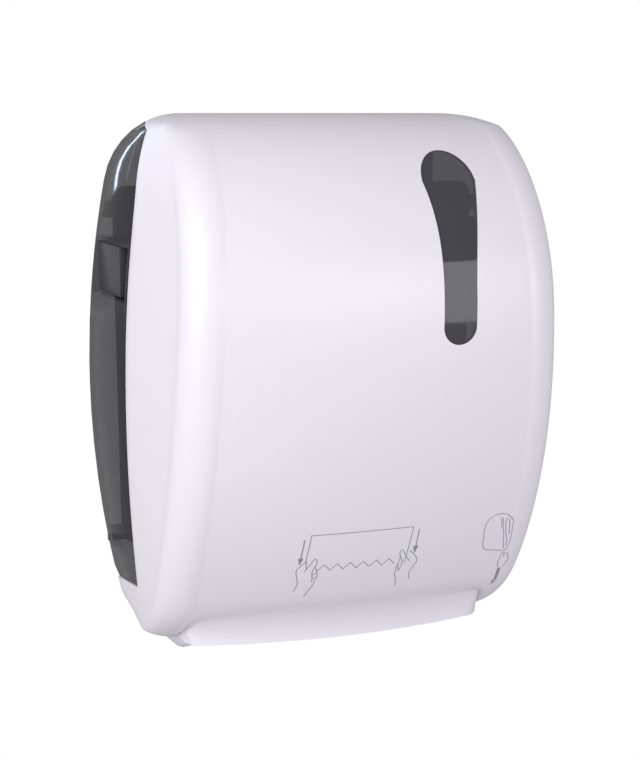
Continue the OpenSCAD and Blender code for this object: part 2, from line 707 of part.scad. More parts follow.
// Curved plate on the front face between insets t0 and t1, wide enough for the window
module window_sheet(t0, t1) {
    x0 = window_foot_x - window_foot_r - 12;
    x1 = window_x + window_head_r + 6;
    z0 = window_foot_z - window_foot_r - 6;
    z1 = window_z + window_head_r + 6;
    xs = [for (i = [0:4]) x0 + (x1 - x0) * i / 4];
    zs = [for (i = [0:14]) z0 + (z1 - z0) * i / 14];
    skin([for (z = zs) [for (x = xs) front_point(x, z, t0)]],
         [for (z = zs) [for (x = xs) front_point(x, z, t1)]]);
}
module window_pane() {
    color("dimgray") union() {
        intersection() {
            window_sheet(0.6, 4);
            window_prism(-0.3, depth * 0.6, depth + 5);
        }
        intersection() {
            window_sheet(cover_t + 0.4, cover_t + 2);
            window_prism(3.5, depth * 0.6, depth + 5);
        }
    }
}
module hinge_lug(s) {
    r = hinge_pin_r + 2;
    heights = [for (i = [-4:4]) hinge_z + r * i / 4];
    on_side(s) difference() {
        intersection() {
            rod_x(r, lug_x, wall_half, hinge_d, hinge_z);
            // The lug ends inside the cover's wall, which curves in towards the bottom
            front_outline(hinge_d + r) polygon(concat(
                [for (z = heights) [side_x(hinge_d + r, z, cover_t / 2), z]],
                [[lug_x - 1, hinge_z + r], [lug_x - 1, hinge_z - r]]));
        }
        rod_x(hinge_pin_r + run, lug_x - 1, lug_x + 7.5, hinge_d, hinge_z);
    }
}
module hinge_lug_left() {
    color("whitesmoke") hinge_lug(-1);
}
module hinge_lug_right() {
    color("whitesmoke") hinge_lug(1);
}
module catch_bar(s) {
    on_side(s) slab(catch_in, catch_out, catch_d0, catch_d1, catch_z0, catch_z0 + catch_h);
}
module catch_left() {
    color("whitesmoke") catch_bar(-1);
}
module catch_right() {
    color("whitesmoke") catch_bar(1);
}

// Release buttons
module release_button(s) {
    z = button_z1 + 1;
    on_side(s) {
        translate([0, 0, button_z0]) linear_extrude(height = button_h) polygon([
            [button_back, -rear_gap - tray_t - 0.6],
            [side_x(rear_gap + tray_t, z, 1.2), -rear_gap - tray_t - 0.6],
            [side_x(button_d, z, 1.2), -button_d], [button_back, -button_d]]);
        rod_x(stem_r, latch_x + 1, button_back + 1, stem_d, button_z);
        slab(latch_x, latch_x + latch_t, stem_d - 6, stem_d + 6, button_z - 5, catch_z0 + catch_h);
        slab(latch_x, latch_x + latch_t, stem_d + 5, pocket_d - 2, catch_z0, catch_z0 + catch_h);
        slab(latch_x, catch_in - catch_gap, pocket_d - 2 - nose_w, pocket_d - 2,
             catch_z0, catch_z0 + catch_h);
    }
}
module release_button_left() {
    color("gray") release_button(-1);
}
module release_button_right() {
    color("gray") release_button(1);
}

// Round tube of six sides along a list of points
function unit(v) = v / norm(v);
function tube_ring(p, along, r, up) =
    let (a = unit(cross(along, up)), b = unit(cross(a, along)))
    [for (i = [0:5]) p + r * (a * cos(60 * i) + b * sin(60 * i))];
module tube(path, r, up) {
    n = len(path);
    rings = [for (i = [0:n - 1]) each
        tube_ring(path[i], path[min(i + 1, n - 1)] - path[max(i - 1, 0)], r, up)];
    sides = [for (i = [0:n - 2]) for (j = [0:5]) each [
        [6 * i + j, 6 * i + (j + 1) % 6, 6 * (i + 1) + j],
        [6 * i + (j + 1) % 6, 6 * (i + 1) + (j + 1) % 6, 6 * (i + 1) + j]]];
    ends = [for (j = [1:4]) each [[0, j + 1, j], [6 * (n - 1), 6 * (n - 1) + j, 6 * (n - 1) + j + 1]]];
    polyhedron(points = rings, faces = concat(sides, ends));
}
// Least gap of a tube to itself, measured between points a turn or more apart
function tube_gap(path, r, skip) =
    min([for (i = [0:len(path) - 1]) for (j = [i + skip:1:len(path) - 1]) norm(path[i] - path[j])]) - 2 * r;

// Coil along Z from z0 to z1 round the line through x and depth d
curl = 8;
function coil(turns, r, h) = [for (i = [0:turns * curl])
    [r * cos(360 * i / curl), r * sin(360 * i / curl), h * i / (turns * curl)]];

button_coil_r = 6;
button_coil_turns = 3;
spring_wire_r = 0.5;
button_coil = coil(button_coil_turns, button_coil_r, button_back - pocket_x - 2 * spring_wire_r - 0.4);
module button_spring(s) {
    echo("least gap in a button spring", tube_gap(button_coil, spring_wire_r, 6));
    on_side(s) translate([pocket_x + spring_wire_r + 0.2, -stem_d, button_z]) rotate([0, 90, 0])
        tube(button_coil, spring_wire_r, [0, 0, 1]);
}
module button_spring_left() {
    color("silver") button_spring(-1);
}
module button_spring_right() {
    color("silver") button_spring(1);
}

// Paper drum with its knife
module drum_shaft() {
    color("silver") rod_x(shaft_r, -crank_x - crank_t - 0.5, wheel_x + wheel_t + 1, drum_d, drum_z);
}
module slot_window() {
    translate([drum_d, drum_z]) rotate(slot_turn) translate([-15.5, 0]) square([20.5, 60]);
}
slot_half = drum_half - 3.5;
module drum_shell() {
    color("darkgray") difference() {
        rod_x(shell_r, -drum_half, drum_half, drum_d, drum_z, $fn = 96);
        rod_x(shell_r - shell_t, -drum_half - 1, drum_half + 1, drum_d, drum_z);
        side_plate(-slot_half, slot_half) slot_window();
    }
}
module drum_cap(s) {
    difference() {
        union() {
            on_side(s) rod_x(shell_r, drum_half, drum_half + cap_t, drum_d, drum_z);
            on_side(s) difference() {
                rod_x(shell_r - shell_t, drum_half - 3, drum_half + 1, drum_d, drum_z);
                rod_x(shell_r - shell_t - 2, drum_half - 4, drum_half + 2, drum_d, drum_z);
            }
        }
        on_side(s) rod_x(shaft_r, drum_half - 4, drum_half + cap_t + 1, drum_d, drum_z);
        on_side(s) rod_x(knife_r + run, drum_half - 4, drum_half + cap_t + 1, knife_at[0], knife_at[1]);
    }
}
module drum_cap_left() {
    color("ivory") drum_cap(-1);
}
module drum_cap_right() {
    color("ivory") drum_cap(1);
}
module grip_bands() {
    half = drum_half / 10;
    color("darkslategray") for (k = [-7, -2.5, 2.5, 7]) translate([k * half, 0, 0]) difference() {
        rod_x(drum_r, -half, half, drum_d, drum_z, $fn = 96);
        rod_x(shell_r + run, -half - 1, half + 1, drum_d, drum_z, $fn = 96);
        side_plate(-half - 1, half + 1) slot_window();
    }
}
module crank() {
    color("ivory") difference() {
        union() {
            rod_x(crank_throw + 4, -crank_x - crank_t, -crank_x, drum_d, drum_z);
            rod_x(post_r, -spring_x - 4, -crank_x - 1, drum_d, drum_z + crank_throw);
            rod_x(post_r + 1.5, -spring_x - 5, -spring_x - 3.5, drum_d, drum_z + crank_throw);
        }
        rod_x(shaft_r, -crank_x - crank_t - 1, -crank_x + 1, drum_d, drum_z);
    }
}
module ratchet_wheel() {
    step = 360 / teeth;
    color("ivory") difference() {
        side_plate(crank_x, crank_x + ratchet_t) translate([drum_d, drum_z]) polygon(
            [for (i = [0:teeth - 1]) each [
                ratchet_r * [cos(i * step + tooth_turn), sin(i * step + tooth_turn)],
                (ratchet_r - tooth_h) * [cos(i * step + tooth_turn + 3), sin(i * step + tooth_turn + 3)],
                (ratchet_r - tooth_h / 2) * [cos((i + 0.5) * step + tooth_turn),
                                             sin((i + 0.5) * step + tooth_turn)]]]);
        rod_x(shaft_r, crank_x - 1, crank_x + ratchet_t + 1, drum_d, drum_z);
    }
}
module hand_wheel() {
    scallops = 20;
    scallop_r = 3.5;
    holes = 5;
    hole_r = 8;
    hub = 2 * shaft_r;
    hole_at = (hub + wheel_r - wheel_rim) / 2;
    recess = (wheel_t - wheel_web) / 2;
    color("mediumseagreen") difference() {
        union() {
            difference() {
                rod_x(wheel_r, wheel_x, wheel_x + wheel_t, drum_d, drum_z, $fn = 96);
                rod_x(wheel_r - wheel_rim, wheel_x - 1, wheel_x + recess, drum_d, drum_z);
                rod_x(wheel_r - wheel_rim, wheel_x + wheel_t - recess, wheel_x + wheel_t + 1,
                      drum_d, drum_z);
            }
            rod_x(hub, wheel_x - 1.4, wheel_x + wheel_t, drum_d, drum_z);
        }
        rod_x(shaft_r, wheel_x - 3, wheel_x + wheel_t + 1, drum_d, drum_z);
        for (i = [0:scallops - 1]) let (a = 360 * i / scallops, r = wheel_r + scallop_r / 2)
            rod_x(scallop_r, wheel_x - 1, wheel_x + wheel_t + 1, drum_d + r * cos(a), drum_z + r * sin(a));
        for (i = [0:holes - 1]) let (a = 360 * i / holes)
            rod_x(hole_r, wheel_x - 1, wheel_x + wheel_t + 1,
                  drum_d + hole_at * cos(a), drum_z + hole_at * sin(a));
    }
}
module knife_shaft() {
    color("silver") rod_x(knife_r, -drum_half - cap_t - 4, drum_half + cap_t + 1.5,
                          knife_at[0], knife_at[1]);
}
module knife_holder() {
    color("ivory") difference() {
        side_plate(-slot_half + 1, slot_half - 1) translate([drum_d, drum_z]) rotate(slot_turn) {
            translate([knife_u, knife_v]) circle(r = knife_r + 2);
            polygon([[knife_u, knife_v - 5], [-1, knife_v - 5], [-1, knife_v + 7],
                     [-6, knife_v + 7], [-6, knife_v - 0.5], [knife_u, knife_v + 5]]);
        }
        rod_x(knife_r, -slot_half, slot_half, knife_at[0], knife_at[1]);
    }
}
module knife_blade() {
    half = slot_half - 1;
    pitch = 6;
    count = floor(2 * half / pitch);
    color("lightsteelblue") translate([0, -drum_d, drum_z]) rotate([-slot_turn, 0, 0])
        translate([0, 1, 0]) rotate([90, 0, 0]) linear_extrude(height = 1) polygon(concat(
            [[-half, knife_v - 4], [half, knife_v - 4], [half, shell_r - 4.5]],
            [for (i = [0:count - 1]) each [
                [half - (i + 0.5) * 2 * half / count, shell_r - 1.5],
                [half - (i + 1) * 2 * half / count, shell_r - 4.5]]]));
}
module knife_lever() {
    x0 = -drum_half - cap_t - 0.9;
    color("ivory") {
        difference() {
            side_plate(x0 - 3, x0) link(knife_at, follower_at, knife_r + 3, follower_pin_r + 2, 6);
            rod_x(knife_r, x0 - 4, x0 + 1, knife_at[0], knife_at[1]);
        }
        rod_x(follower_pin_r, x0 - 8.5, x0 - 2, follower_at[0], follower_at[1]);
    }
}
module cam_follower() {
    x0 = -drum_half - cap_t - 0.9;
    color("dimgray") difference() {
        rod_x(follower_r, x0 - 8, x0 - 3.4, follower_at[0], follower_at[1]);
        rod_x(follower_pin_r + run, x0 - 9, x0 - 3, follower_at[0], follower_at[1]);
    }
}
// Return spring from the crank pin up to the post, hooked round both
hook_r = 3.5;
crank_wire_r = 0.7;
crank_coil_r = 4;
crank_coil_turns = 12;
hook_low = drum_z + crank_throw;
coil_low = hook_low + hook_r + 3.5;
coil_high = post_z - hook_r - 3.5;
crank_path = concat(
    [for (a = [140:30:440]) [0, hook_r * cos(a), hook_low + hook_r * sin(a)]],
    [[0, 0, hook_low + hook_r + 0.6], [crank_coil_r * 0.6, 0, coil_low - 1]],
    [for (p = coil(crank_coil_turns, crank_coil_r, coil_high - coil_low)) p + [0, 0, coil_low]],
    [[crank_coil_r * 0.6, 0, coil_high + 1], [0, 0, post_z - hook_r - 0.6]],
    [for (a = [-80:30:220]) [0, hook_r * cos(a), post_z + hook_r * sin(a)]]);
module crank_spring() {
    echo("least gap in the crank spring", tube_gap(crank_path, crank_wire_r, 6));
    color("silver") translate([-spring_x, -drum_d, 0]) tube(crank_path, crank_wire_r, [0.3, 1, 0.2]);
}
module pawl() {
    color("ivory") difference() {
        side_plate(crank_x, crank_x + ratchet_t) link(pawl_at, pawl_tip, pawl_pin_r + 2.5, pawl_tip_r, 3);
        rod_x(pawl_pin_r + run, crank_x - 1, crank_x + ratchet_t + 1, pawl_at[0], pawl_at[1]);
    }
}

// Pressure roller in its sprung yoke
module yoke_rod() {
    color("silver") rod_x(yoke_rod_r, -frame_out, frame_out, yoke_d, yoke_z);
}
module yoke_arm(s) {
    on_side(s) difference() {
        side_plate(frame_x - 3.5, frame_x - 0.5) {
            link([yoke_d, yoke_z], [roller_d, roller_z], yoke_rod_r + 4, roller_shaft_r + 3.5, 9);
            link([yoke_d, yoke_z], [yoke_d - 2, yoke_seat_z], yoke_rod_r + 3, 4, 6);
        }
        rod_x(yoke_rod_r, frame_x - 5, frame_x + 1, yoke_d, yoke_z);
        rod_x(roller_shaft_r + run, frame_x - 5, frame_x + 1, roller_d, roller_z);
    }
}
module yoke_arm_left() {
    color("ivory") yoke_arm(-1);
}
module yoke_arm_right() {
    color("ivory") yoke_arm(1);
}
yoke_coil_r = 3;
yoke_coil_turns = 4;
yoke_seat_z = yoke_z + yoke_lean;
yoke_seat0 = yoke_d - yoke_lean;
yoke_seat1 = yoke_d - 6;
yoke_coil = coil(yoke_coil_turns, yoke_coil_r, yoke_seat1 - yoke_seat0 - 2 * spring_wire_r - 0.4);
module yoke_spring(s) {
    echo("least gap in a yoke spring", tube_gap(yoke_coil, spring_wire_r, 6));
    on_side(s) translate([frame_x - 4.2, -yoke_seat0 - spring_wire_r - 0.2, yoke_seat_z])
        rotate([90, 0, 0]) tube(yoke_coil, spring_wire_r, [0, 0, 1]);
}
module yoke_spring_left() {
    color("silver") yoke_spring(-1);
}
module yoke_spring_right() {
    color("silver") yoke_spring(1);
}
module roller_shaft() {
    color("silver") rod_x(roller_shaft_r, -frame_x + 0.3, frame_x - 0.3, roller_d, roller_z);
}
module roller_sleeve() {
    color("darkslategray") difference() {
        rod_x(roller_r, -drum_half + 0.5, drum_half - 0.5, roller_d, roller_z);
        rod_x(roller_shaft_r, -drum_half, drum_half, roller_d, roller_z);
    }
}

// Roll holder
arm_in = arm_x - ear_r;
arm_t = 3;
arm_end_r = 14;
hub_pin_r = 3;
module roll_arm(s) {
    half = arm_half_h + 1.7;
    on_side(s) {
        difference() {
            union() {
                rod_z(ear_r, arm_x, arm_d, roll_z - half, roll_z + half);
                slab(arm_in, arm_in + arm_t, arm_d, roll_d, roll_z - arm_half_h, roll_z + arm_half_h);
                rod_x(arm_end_r, arm_in, arm_in + arm_t, roll_d, roll_z);
            }
            rod_z(arm_pin_r + run, arm_x, arm_d, roll_z - half - 1, roll_z + half + 1);
        }
        rod_x(hub_pin_r, arm_in - hub_w - 1.5, arm_in + 1, roll_d, roll_z);
        rod_x(hub_pin_r + 2, arm_in - hub_w - 2.5, arm_in - hub_w - 1, roll_d, roll_z);
    }
}
module roll_arm_left() {
    color("lightgray") roll_arm(-1);
}
module roll_arm_right() {
    color("lightgray") roll_arm(1);
}
hub_w = 13;
hub_flange = 3;
hub_wall = 2.5;
module roll_hub(s) {
    x1 = arm_in - 0.3;
    on_side(s) difference() {
        union() {
            rod_x(hub_r + 5.5, x1 - hub_flange, x1, roll_d, roll_z);
            rod_x(hub_r, x1 - hub_w, x1 - 2, roll_d, roll_z);
        }
        rod_x(hub_pin_r + run, x1 - hub_w - 1, x1 + 1, roll_d, roll_z);
        difference() {
            rod_x(hub_r - hub_wall, x1 - hub_w - 1, x1 - hub_flange, roll_d, roll_z);
            rod_x(2 * hub_pin_r, x1 - hub_w - 2, x1, roll_d, roll_z);
        }
    }
}
module roll_hub_left() {
    color("slategray") roll_hub(-1);
}
module roll_hub_right() {
    color("slategray") roll_hub(1);
}

back_plate();
side_panel_left();
side_panel_right();
panel_screws();
side_frame_left();
side_frame_right();
frame_screws();
tie_bar();
rear_guide();
front_guide();
drum_bush_left();
drum_bush_right();
cam_ring();
spring_post();
hinge_pin_left();
hinge_pin_right();
arm_pin_left();
arm_pin_right();
pawl_pin();
front_cover();
window_pane();
hinge_lug_left();
hinge_lug_right();
catch_left();
catch_right();
release_button_left();
release_button_right();
button_spring_left();
button_spring_right();
drum_shaft();
drum_shell();
drum_cap_left();
drum_cap_right();
grip_bands();
crank();
ratchet_wheel();
hand_wheel();
knife_shaft();
knife_holder();
knife_blade();
knife_lever();
cam_follower();
crank_spring();
pawl();
yoke_rod();
yoke_arm_left();
yoke_arm_right();
yoke_spring_left();
yoke_spring_right();
roller_shaft();
roller_sleeve();
roll_arm_left();
roll_arm_right();
roll_hub_left();
roll_hub_right();
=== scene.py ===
"""Wall mounted roll towel dispenser: the looks of a packed part, as a Blender add-on run as a script.

Metres, in the part's own frame: x to the right, the front faces -Y, +Z up, the wall is the plane y = 0.
Shape formulas work in millimetres, with d for the distance in front of the wall."""

import json
import math

import bmesh
import bpy
from bpy.props import FloatProperty, FloatVectorProperty, IntProperty, PointerProperty
from mathutils import Euler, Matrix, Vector

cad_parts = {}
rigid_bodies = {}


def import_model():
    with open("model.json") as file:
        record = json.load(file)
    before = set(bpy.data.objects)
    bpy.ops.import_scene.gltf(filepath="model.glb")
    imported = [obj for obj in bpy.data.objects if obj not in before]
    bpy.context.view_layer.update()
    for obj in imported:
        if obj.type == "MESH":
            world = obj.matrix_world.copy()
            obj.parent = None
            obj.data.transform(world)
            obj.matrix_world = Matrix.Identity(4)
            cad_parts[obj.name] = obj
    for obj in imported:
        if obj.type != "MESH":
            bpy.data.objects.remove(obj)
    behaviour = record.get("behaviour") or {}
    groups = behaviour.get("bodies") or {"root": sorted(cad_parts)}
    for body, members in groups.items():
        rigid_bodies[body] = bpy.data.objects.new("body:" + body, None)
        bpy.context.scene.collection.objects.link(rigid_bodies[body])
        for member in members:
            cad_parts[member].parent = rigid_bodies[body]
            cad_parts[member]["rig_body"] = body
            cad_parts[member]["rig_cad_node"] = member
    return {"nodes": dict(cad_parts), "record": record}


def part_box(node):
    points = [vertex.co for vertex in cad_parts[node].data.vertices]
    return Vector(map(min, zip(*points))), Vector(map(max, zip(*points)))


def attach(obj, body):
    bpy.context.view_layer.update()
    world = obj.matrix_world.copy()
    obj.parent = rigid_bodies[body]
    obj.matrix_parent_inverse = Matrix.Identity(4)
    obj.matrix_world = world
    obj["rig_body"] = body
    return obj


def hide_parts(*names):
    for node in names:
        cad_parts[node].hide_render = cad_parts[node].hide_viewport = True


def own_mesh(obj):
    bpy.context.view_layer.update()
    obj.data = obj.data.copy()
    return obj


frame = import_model()

bl_info = {
    "name": "Roll Towel Dispenser",
    "version": (1, 0, 0),
    "blender": (4, 5, 0),
    "location": "3D View > Sidebar > Dispenser",
    "description": "Builds the visible surfaces of a wall mounted roll towel dispenser on its packed frame",
    "category": "Object",
}

MM = 0.001
COVER_LOW, COVER_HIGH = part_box("front_cover")


def length(name, about, default, low=0.0):
    return FloatProperty(
        name=name, description=about, default=default, min=low, max=2, unit="LENGTH", precision=5
    )


def number(name, about, default):
    return IntProperty(name=name, description=about, default=default, min=4, max=80)


class DispenserSizes(bpy.types.PropertyGroup):
    """Sizes of the cover and its trim, in metres."""

    top: length("Top", "Height of the top of the cover", COVER_HIGH.z)
    lip: length("Lip", "Height of the lower edge of the spout", -0.197, -1)
    bottom: length("Bottom", "Height of the lower edge of the side lobes", COVER_LOW.z, -1)
    wall_half: length("Half width", "Greatest half width, at the wall", 0.160)
    depth: length("Depth", "Greatest depth from the wall", -COVER_LOW.y)
    belly: length("Belly", "Height at which the body is widest", -0.023, -1)
    side_arc: length("Side arc", "Radius of the long arc of each side", 0.722)
    top_corner: length("Top corners", "Radius of the top corners seen from the front", 0.057)
    low_corner: length("Bottom corners", "Radius of the bottom corners seen from the front", 0.036)
    front_low: length("Front, low", "Half width of the front face at the bottom", 0.1348)
    front_top: length("Front, top", "Half width of the front face at the top", 0.1185)
    front_corner: length("Front corners", "Radius of the upright front corners", 0.025)
    bow: length("Bow", "How far the front bows forward", 0.014)
    crown: length("Crown", "Radius of the rounded top front edge", 0.1235)
    sweep: length("Sweep", "Radius of the large arc of the front", 0.343)
    under: length("Under", "How far the side lobes roll back at their lower edge", 0.045)
    roll: length("Roll", "Height over which the side lobes roll back", 0.055)
    wall: length("Wall", "Thickness of the moulded cover", 0.0026)
    parting: length("Parting line", "Depth of the line between cover and side panel", 0.081)
    rear: length("Rear gap", "Distance of the rear edge from the wall", -COVER_HIGH.y)
    spout_half: length("Spout", "Half width of the spout lip", 0.111)
    spout_d: length("Spout depth", "Depth of the middle of the lip", 0.1165)
    spout_corner: length("Spout corners", "Radius of the spout's corners", 0.010)
    crease: length("Crease", "Height at which the spout flows into the cover", -0.160, -1)
    blend: length("Blend", "Softness of the crease round the spout", 0.0035)
    edge: length("Edge", "Rounding of moulded edges", 0.0005)
    line: length("Line", "Width of the printed lines", 0.00058)
    columns: number("Columns", "Faces across half of the front", 26)
    corners: number("Corner columns", "Faces round each upright front corner", 26)
    sides: number("Side columns", "Faces along each side", 12)
    rows: number("Rows", "Rows of faces up the cover's crown", 34)


def colour(name, about, code):
    return FloatVectorProperty(
        name=name, description=about, default=linear(code), subtype="COLOR", size=3, min=0, max=1
    )


def linear(code):
    """sRGB hex colour as linear red, green and blue."""
    parts = [int(code[i : i + 2], 16) / 255 for i in (1, 3, 5)]
    return tuple(c / 12.92 if c <= 0.04045 else ((c + 0.055) / 1.055) ** 2.4 for c in parts)


class DispenserColours(bpy.types.PropertyGroup):
    """Colours of the plastics and metals."""

    cover: colour("Cover", "White ABS of the cover", "#eceaf0")
    smoke: colour("Smoke", "Smoke tint of the side panels", "#303034")
    window: colour("Window", "Smoke tint of the window", "#4a4a4e")
    button: colour("Button", "Grey of the release buttons", "#4b4b50")
    inside: colour("Back", "Light grey of the back plate and roll arms", "#b9b9bc")
    module: colour("Module", "Slate grey of the feed module", "#2f3136")
    acetal: colour("Acetal", "Natural acetal of gears and arms", "#dedbd0")
    wheel: colour("Hand wheel", "Green of the hand wheel", "#2c7350")
    rubber: colour("Rubber", "Black of grip bands and roller", "#1b1b1d")
    print: colour("Print", "Grey of the printed lines", "#94949d")


class Skin:
    """The outer shape of the cover in millimetres, as functions of height."""

    # Fall of the spout's flanks per millimetre outward, and the spout's widening from lip to crease
    flank_slope, flank_widening = 5.5, 2
    # Height of the side lobes, the stretch over which the rim runs from them to the panel, their rear edge
    lobe, lobe_overlap, lobe_rise, lobe_rear = 36.5, 0.5, 11.3, 5.0
    # Drop of the side panel's shoulder and tip from the top
    shoulder_drop, tip_drop = 11, 5
    # Height at which the parting line lies furthest forward, and how far it swings back below that
    parting_z, parting_back = 5, 14
    # The parting line's two curves reach a little past the tip and start a little above the height
    parting_spare, parting_lead = 0.5, 1
    # Power of the squared-off oval of the parting line, and of the front's narrowing towards the top
    oval, taper = 4, 1.5
    # Rows of the lower roll and of the long middle, and where the middle starts above the crease
    low_rows, middle_rows, middle_start = 22, 30, 12
    # Rows keep this far from the levels that have to be met, below and in the crown
    low_clear, crown_clear = 0.4, 0.35
    # The last row lies this far under the top, where the flat top closes the cover
    last_row = 0.06

    def __init__(self, sizes):
        names = """top lip bottom wall_half depth belly side_arc top_corner low_corner front_low
            front_top front_corner bow crown sweep under roll parting rear spout_half spout_d spout_corner
            crease blend"""
        for name in names.split():
            setattr(self, name, getattr(sizes, name) / MM)
        self.crown_z = self.top - self.crown
        self.under_z = self.bottom + self.roll
        lobe_top = self.bottom + self.lobe
        self.rise_low, self.rise_high = lobe_top - self.lobe_overlap, lobe_top + self.lobe_rise
        self.shoulder = self.top - self.shoulder_drop
        self.tip = self.top - self.tip_drop

    def wall_w(self, z, t=0.0):
        """Half width at the wall: a long arc each side, met by the round of the top and bottom corners."""
        big, rt, rb, w = self.side_arc - t, self.top_corner - t, self.low_corner - t, self.wall_half - t
        zt, zb, c = self.top - t - rt, self.bottom + t + rb, w - big
        if z > self.belly + (zt - self.belly) * big / (big - rt):
            corner = c + math.sqrt((big - rt) ** 2 - (zt - self.belly) ** 2)
            return corner + math.sqrt(max(rt * rt - (z - zt) ** 2, 0))
        if z < self.belly - (self.belly - zb) * big / (big - rb):
            corner = c + math.sqrt((big - rb) ** 2 - (self.belly - zb) ** 2)
            return corner + math.sqrt(max(rb * rb - (z - zb) ** 2, 0))
        return c + math.sqrt(big * big - (z - self.belly) ** 2)

    def front_d(self, z, t=0.0):
        """Depth of the middle of the front: the crown's arc above, the large arc of the front below."""
        up = (z - self.crown_z) ** 2
        if z > self.crown_z:
            return self.depth - self.crown + math.sqrt(max((self.crown - t) ** 2 - up, 0))
        return self.depth - self.sweep + math.sqrt((self.sweep - t) ** 2 - up)

    def under_in(self, z, t=0.0):
        """How far the lower edge has rolled back at height z."""
        if z >= self.under_z:
            return 0.0
        return (self.under - t) * (1 - math.sqrt(max(1 - ((self.under_z - z) / (self.roll - t)) ** 2, 0)))

    def front_w(self, z, t=0.0):
        share = max(z - self.lip, 0) / (self.top - self.lip)
        w = self.front_low + (self.front_top - self.front_low) * share**self.taper
        return min(w - t, self.wall_w(z, t))

    def plan(self, z, t=0.0):
        """Half width of the front, corner radius, where the corner starts sideways and in depth."""
        w = self.front_w(z, t)
        r = min(self.front_corner - t, w / 2)
        xc = w - r
        return w, r, xc, self.front_d(z, t) - self.under_in(z, t) - self.bow * (xc / w) ** 2 - r

    def face_d(self, x, z, t=0.0):
        """Depth of the front and its corners at sideways place x."""
        w, r, xc, dc = self.plan(z, t)
        a = abs(x)
        if a <= xc:
            return dc + r + self.bow * (xc * xc - a * a) / (w * w)
        return dc + math.sqrt(max(r * r - (min(a, w) - xc) ** 2, 0))

    def side_x(self, d, z, t=0.0):
        w, r, xc, dc = self.plan(z, t)
        return w + (self.wall_w(z, t) - w) * (1 - min(d, dc) / dc)

    def spout_mid(self, z):
        top_d = self.front_d(self.crease) - self.under_in(self.crease)
        return self.spout_d + (top_d - self.spout_d) * (max(z - self.lip, 0) / (self.crease - self.lip)) ** 2

    def spout_surf(self, x, z):
        """Depth of the spout with its rounded corners and steep flanks."""
        w = self.spout_half + self.flank_widening * (z - self.lip) / (self.crease - self.lip)
        r, a = self.spout_corner, abs(x)
        e = self.spout_mid(z) - self.bow * (min(a, w) / self.spout_half) ** 2
        if a < w - r:
            return e
        return e - r + math.sqrt(r * r - (a - w + r) ** 2) if a < w else e - r - (a - w) * self.flank_slope

    def on_front(self, x, d, z):
        """A point of the front, led softly over to the spout where that lies further forward."""
        if z >= self.crease:
            return x, d, z
        zs = self.lip + (z - self.bottom) * (self.crease - self.lip) / (self.crease - self.bottom)
        s = self.spout_surf(x, zs)
        share = min(max((s - d) / self.blend * 0.5 + 0.5, 0), 1)
        share = share * share * (3 - 2 * share)
        return x, d + (s - d) * share, z + (zs - z) * share

    def parting_d(self, z):
        """Depth of the line between cover and side panel: a squared-off oval above, a parabola below."""
        up = z - self.parting_z
        if up > 0:
            reach = self.tip - self.parting_z + self.parting_spare
            return self.parting * max(1 - (up / reach) ** self.oval, 0) ** (1 / self.oval)
        reach = self.parting_z + self.parting_lead - self.crease
        return self.parting - self.parting_back * (up / reach) ** 2

    def rim_d(self, z):
        """Depth of the cover's rear edge at height z."""
        low, high, rear = self.rise_low, self.rise_high, self.lobe_rear
        if z <= low:
            return rear
        if z < high:
            return rear + (self.parting_d(high) - rear) * (z - low) / (high - low)
        if z < self.shoulder:
            return self.parting_d(z)
        share = max(self.tip - z, 0) / (self.tip - self.shoulder)
        return self.rear + (self.parting_d(self.shoulder) - self.rear) * share

    def half_row(self, z, fronts, corners, sides):
        """Points of one level of the cover from the middle of the front to the right rear edge.

        Where the spout has led the row off its level, the first third of the side brings it back."""
        w, r, xc, dc = self.plan(z)
        b = self.rim_d(z)
        points = [self.on_front(f * xc, self.face_d(f * xc, z), z) for f in fronts]
        for i in range(1, corners + 1):
            a = math.pi / 2 * i / corners
            points.append(self.on_front(xc + r * math.sin(a), dc + r * math.cos(a), z))
        x0, d0, z0 = points[-1]
        for i in range(1, sides + 1):
            f = i / sides
            d = d0 + (b - d0) * f
            x = self.side_x(d, z) if d < dc else x0
            points.append((x if i == sides or d < dc else x0, d, z0 + (z - z0) * min(3 * f, 1)))
        return points

    def heights(self, rows):
        """Heights of the cover's levels, closest where the shape turns fastest."""
        kept = [self.rise_low, self.rise_high, self.crease, self.shoulder, self.tip]

        def clear(levels, gap):
            return [z for z in levels if all(abs(z - k) > gap for k in kept)]

        start, n = self.crease + self.middle_start, self.low_rows
        low = [self.bottom + self.roll * (1 - math.cos(math.pi / 2 * i / n)) for i in range(n + 1)]
        low = [z for z in clear(low, self.low_clear) if z < start]
        n = self.middle_rows
        middle = [start + (self.crown_z - self.crease - self.middle_start) * i / n for i in range(n)]
        crown = [self.crown_z + self.crown * math.sin(math.pi / 2 * i / rows) for i in range(rows + 1)]
        crown = clear(crown, self.crown_clear) + [self.top - self.last_row]
        return sorted(set(low + middle + crown + kept))


# Small tools of the modelling


def placed(name, data):
    """A new object in the scene, from a mesh, a curve, a light or a camera."""
    obj = bpy.data.objects.new(name, data)
    bpy.context.scene.collection.objects.link(obj)
    return obj


def alone(obj):
    """Nothing is selected but obj, which is the active object."""
    if bpy.context.mode != "OBJECT":
        bpy.ops.object.mode_set(mode="OBJECT")
    bpy.ops.object.select_all(action="DESELECT")
    obj.select_set(True)
    bpy.context.view_layer.objects.active = obj


def editing(obj, *steps):
    """Runs the steps in edit mode on all of obj's faces, then leaves edit mode."""
    alone(obj)
    bpy.ops.object.mode_set(mode="EDIT")
    bpy.ops.mesh.select_all(action="SELECT")
    for step in steps:
        step()
    bpy.ops.object.mode_set(mode="OBJECT")
    return obj


def merge(distance=1e-6):
    bpy.ops.mesh.remove_doubles(threshold=distance)


def outward():
    bpy.ops.mesh.normals_make_consistent(inside=False)


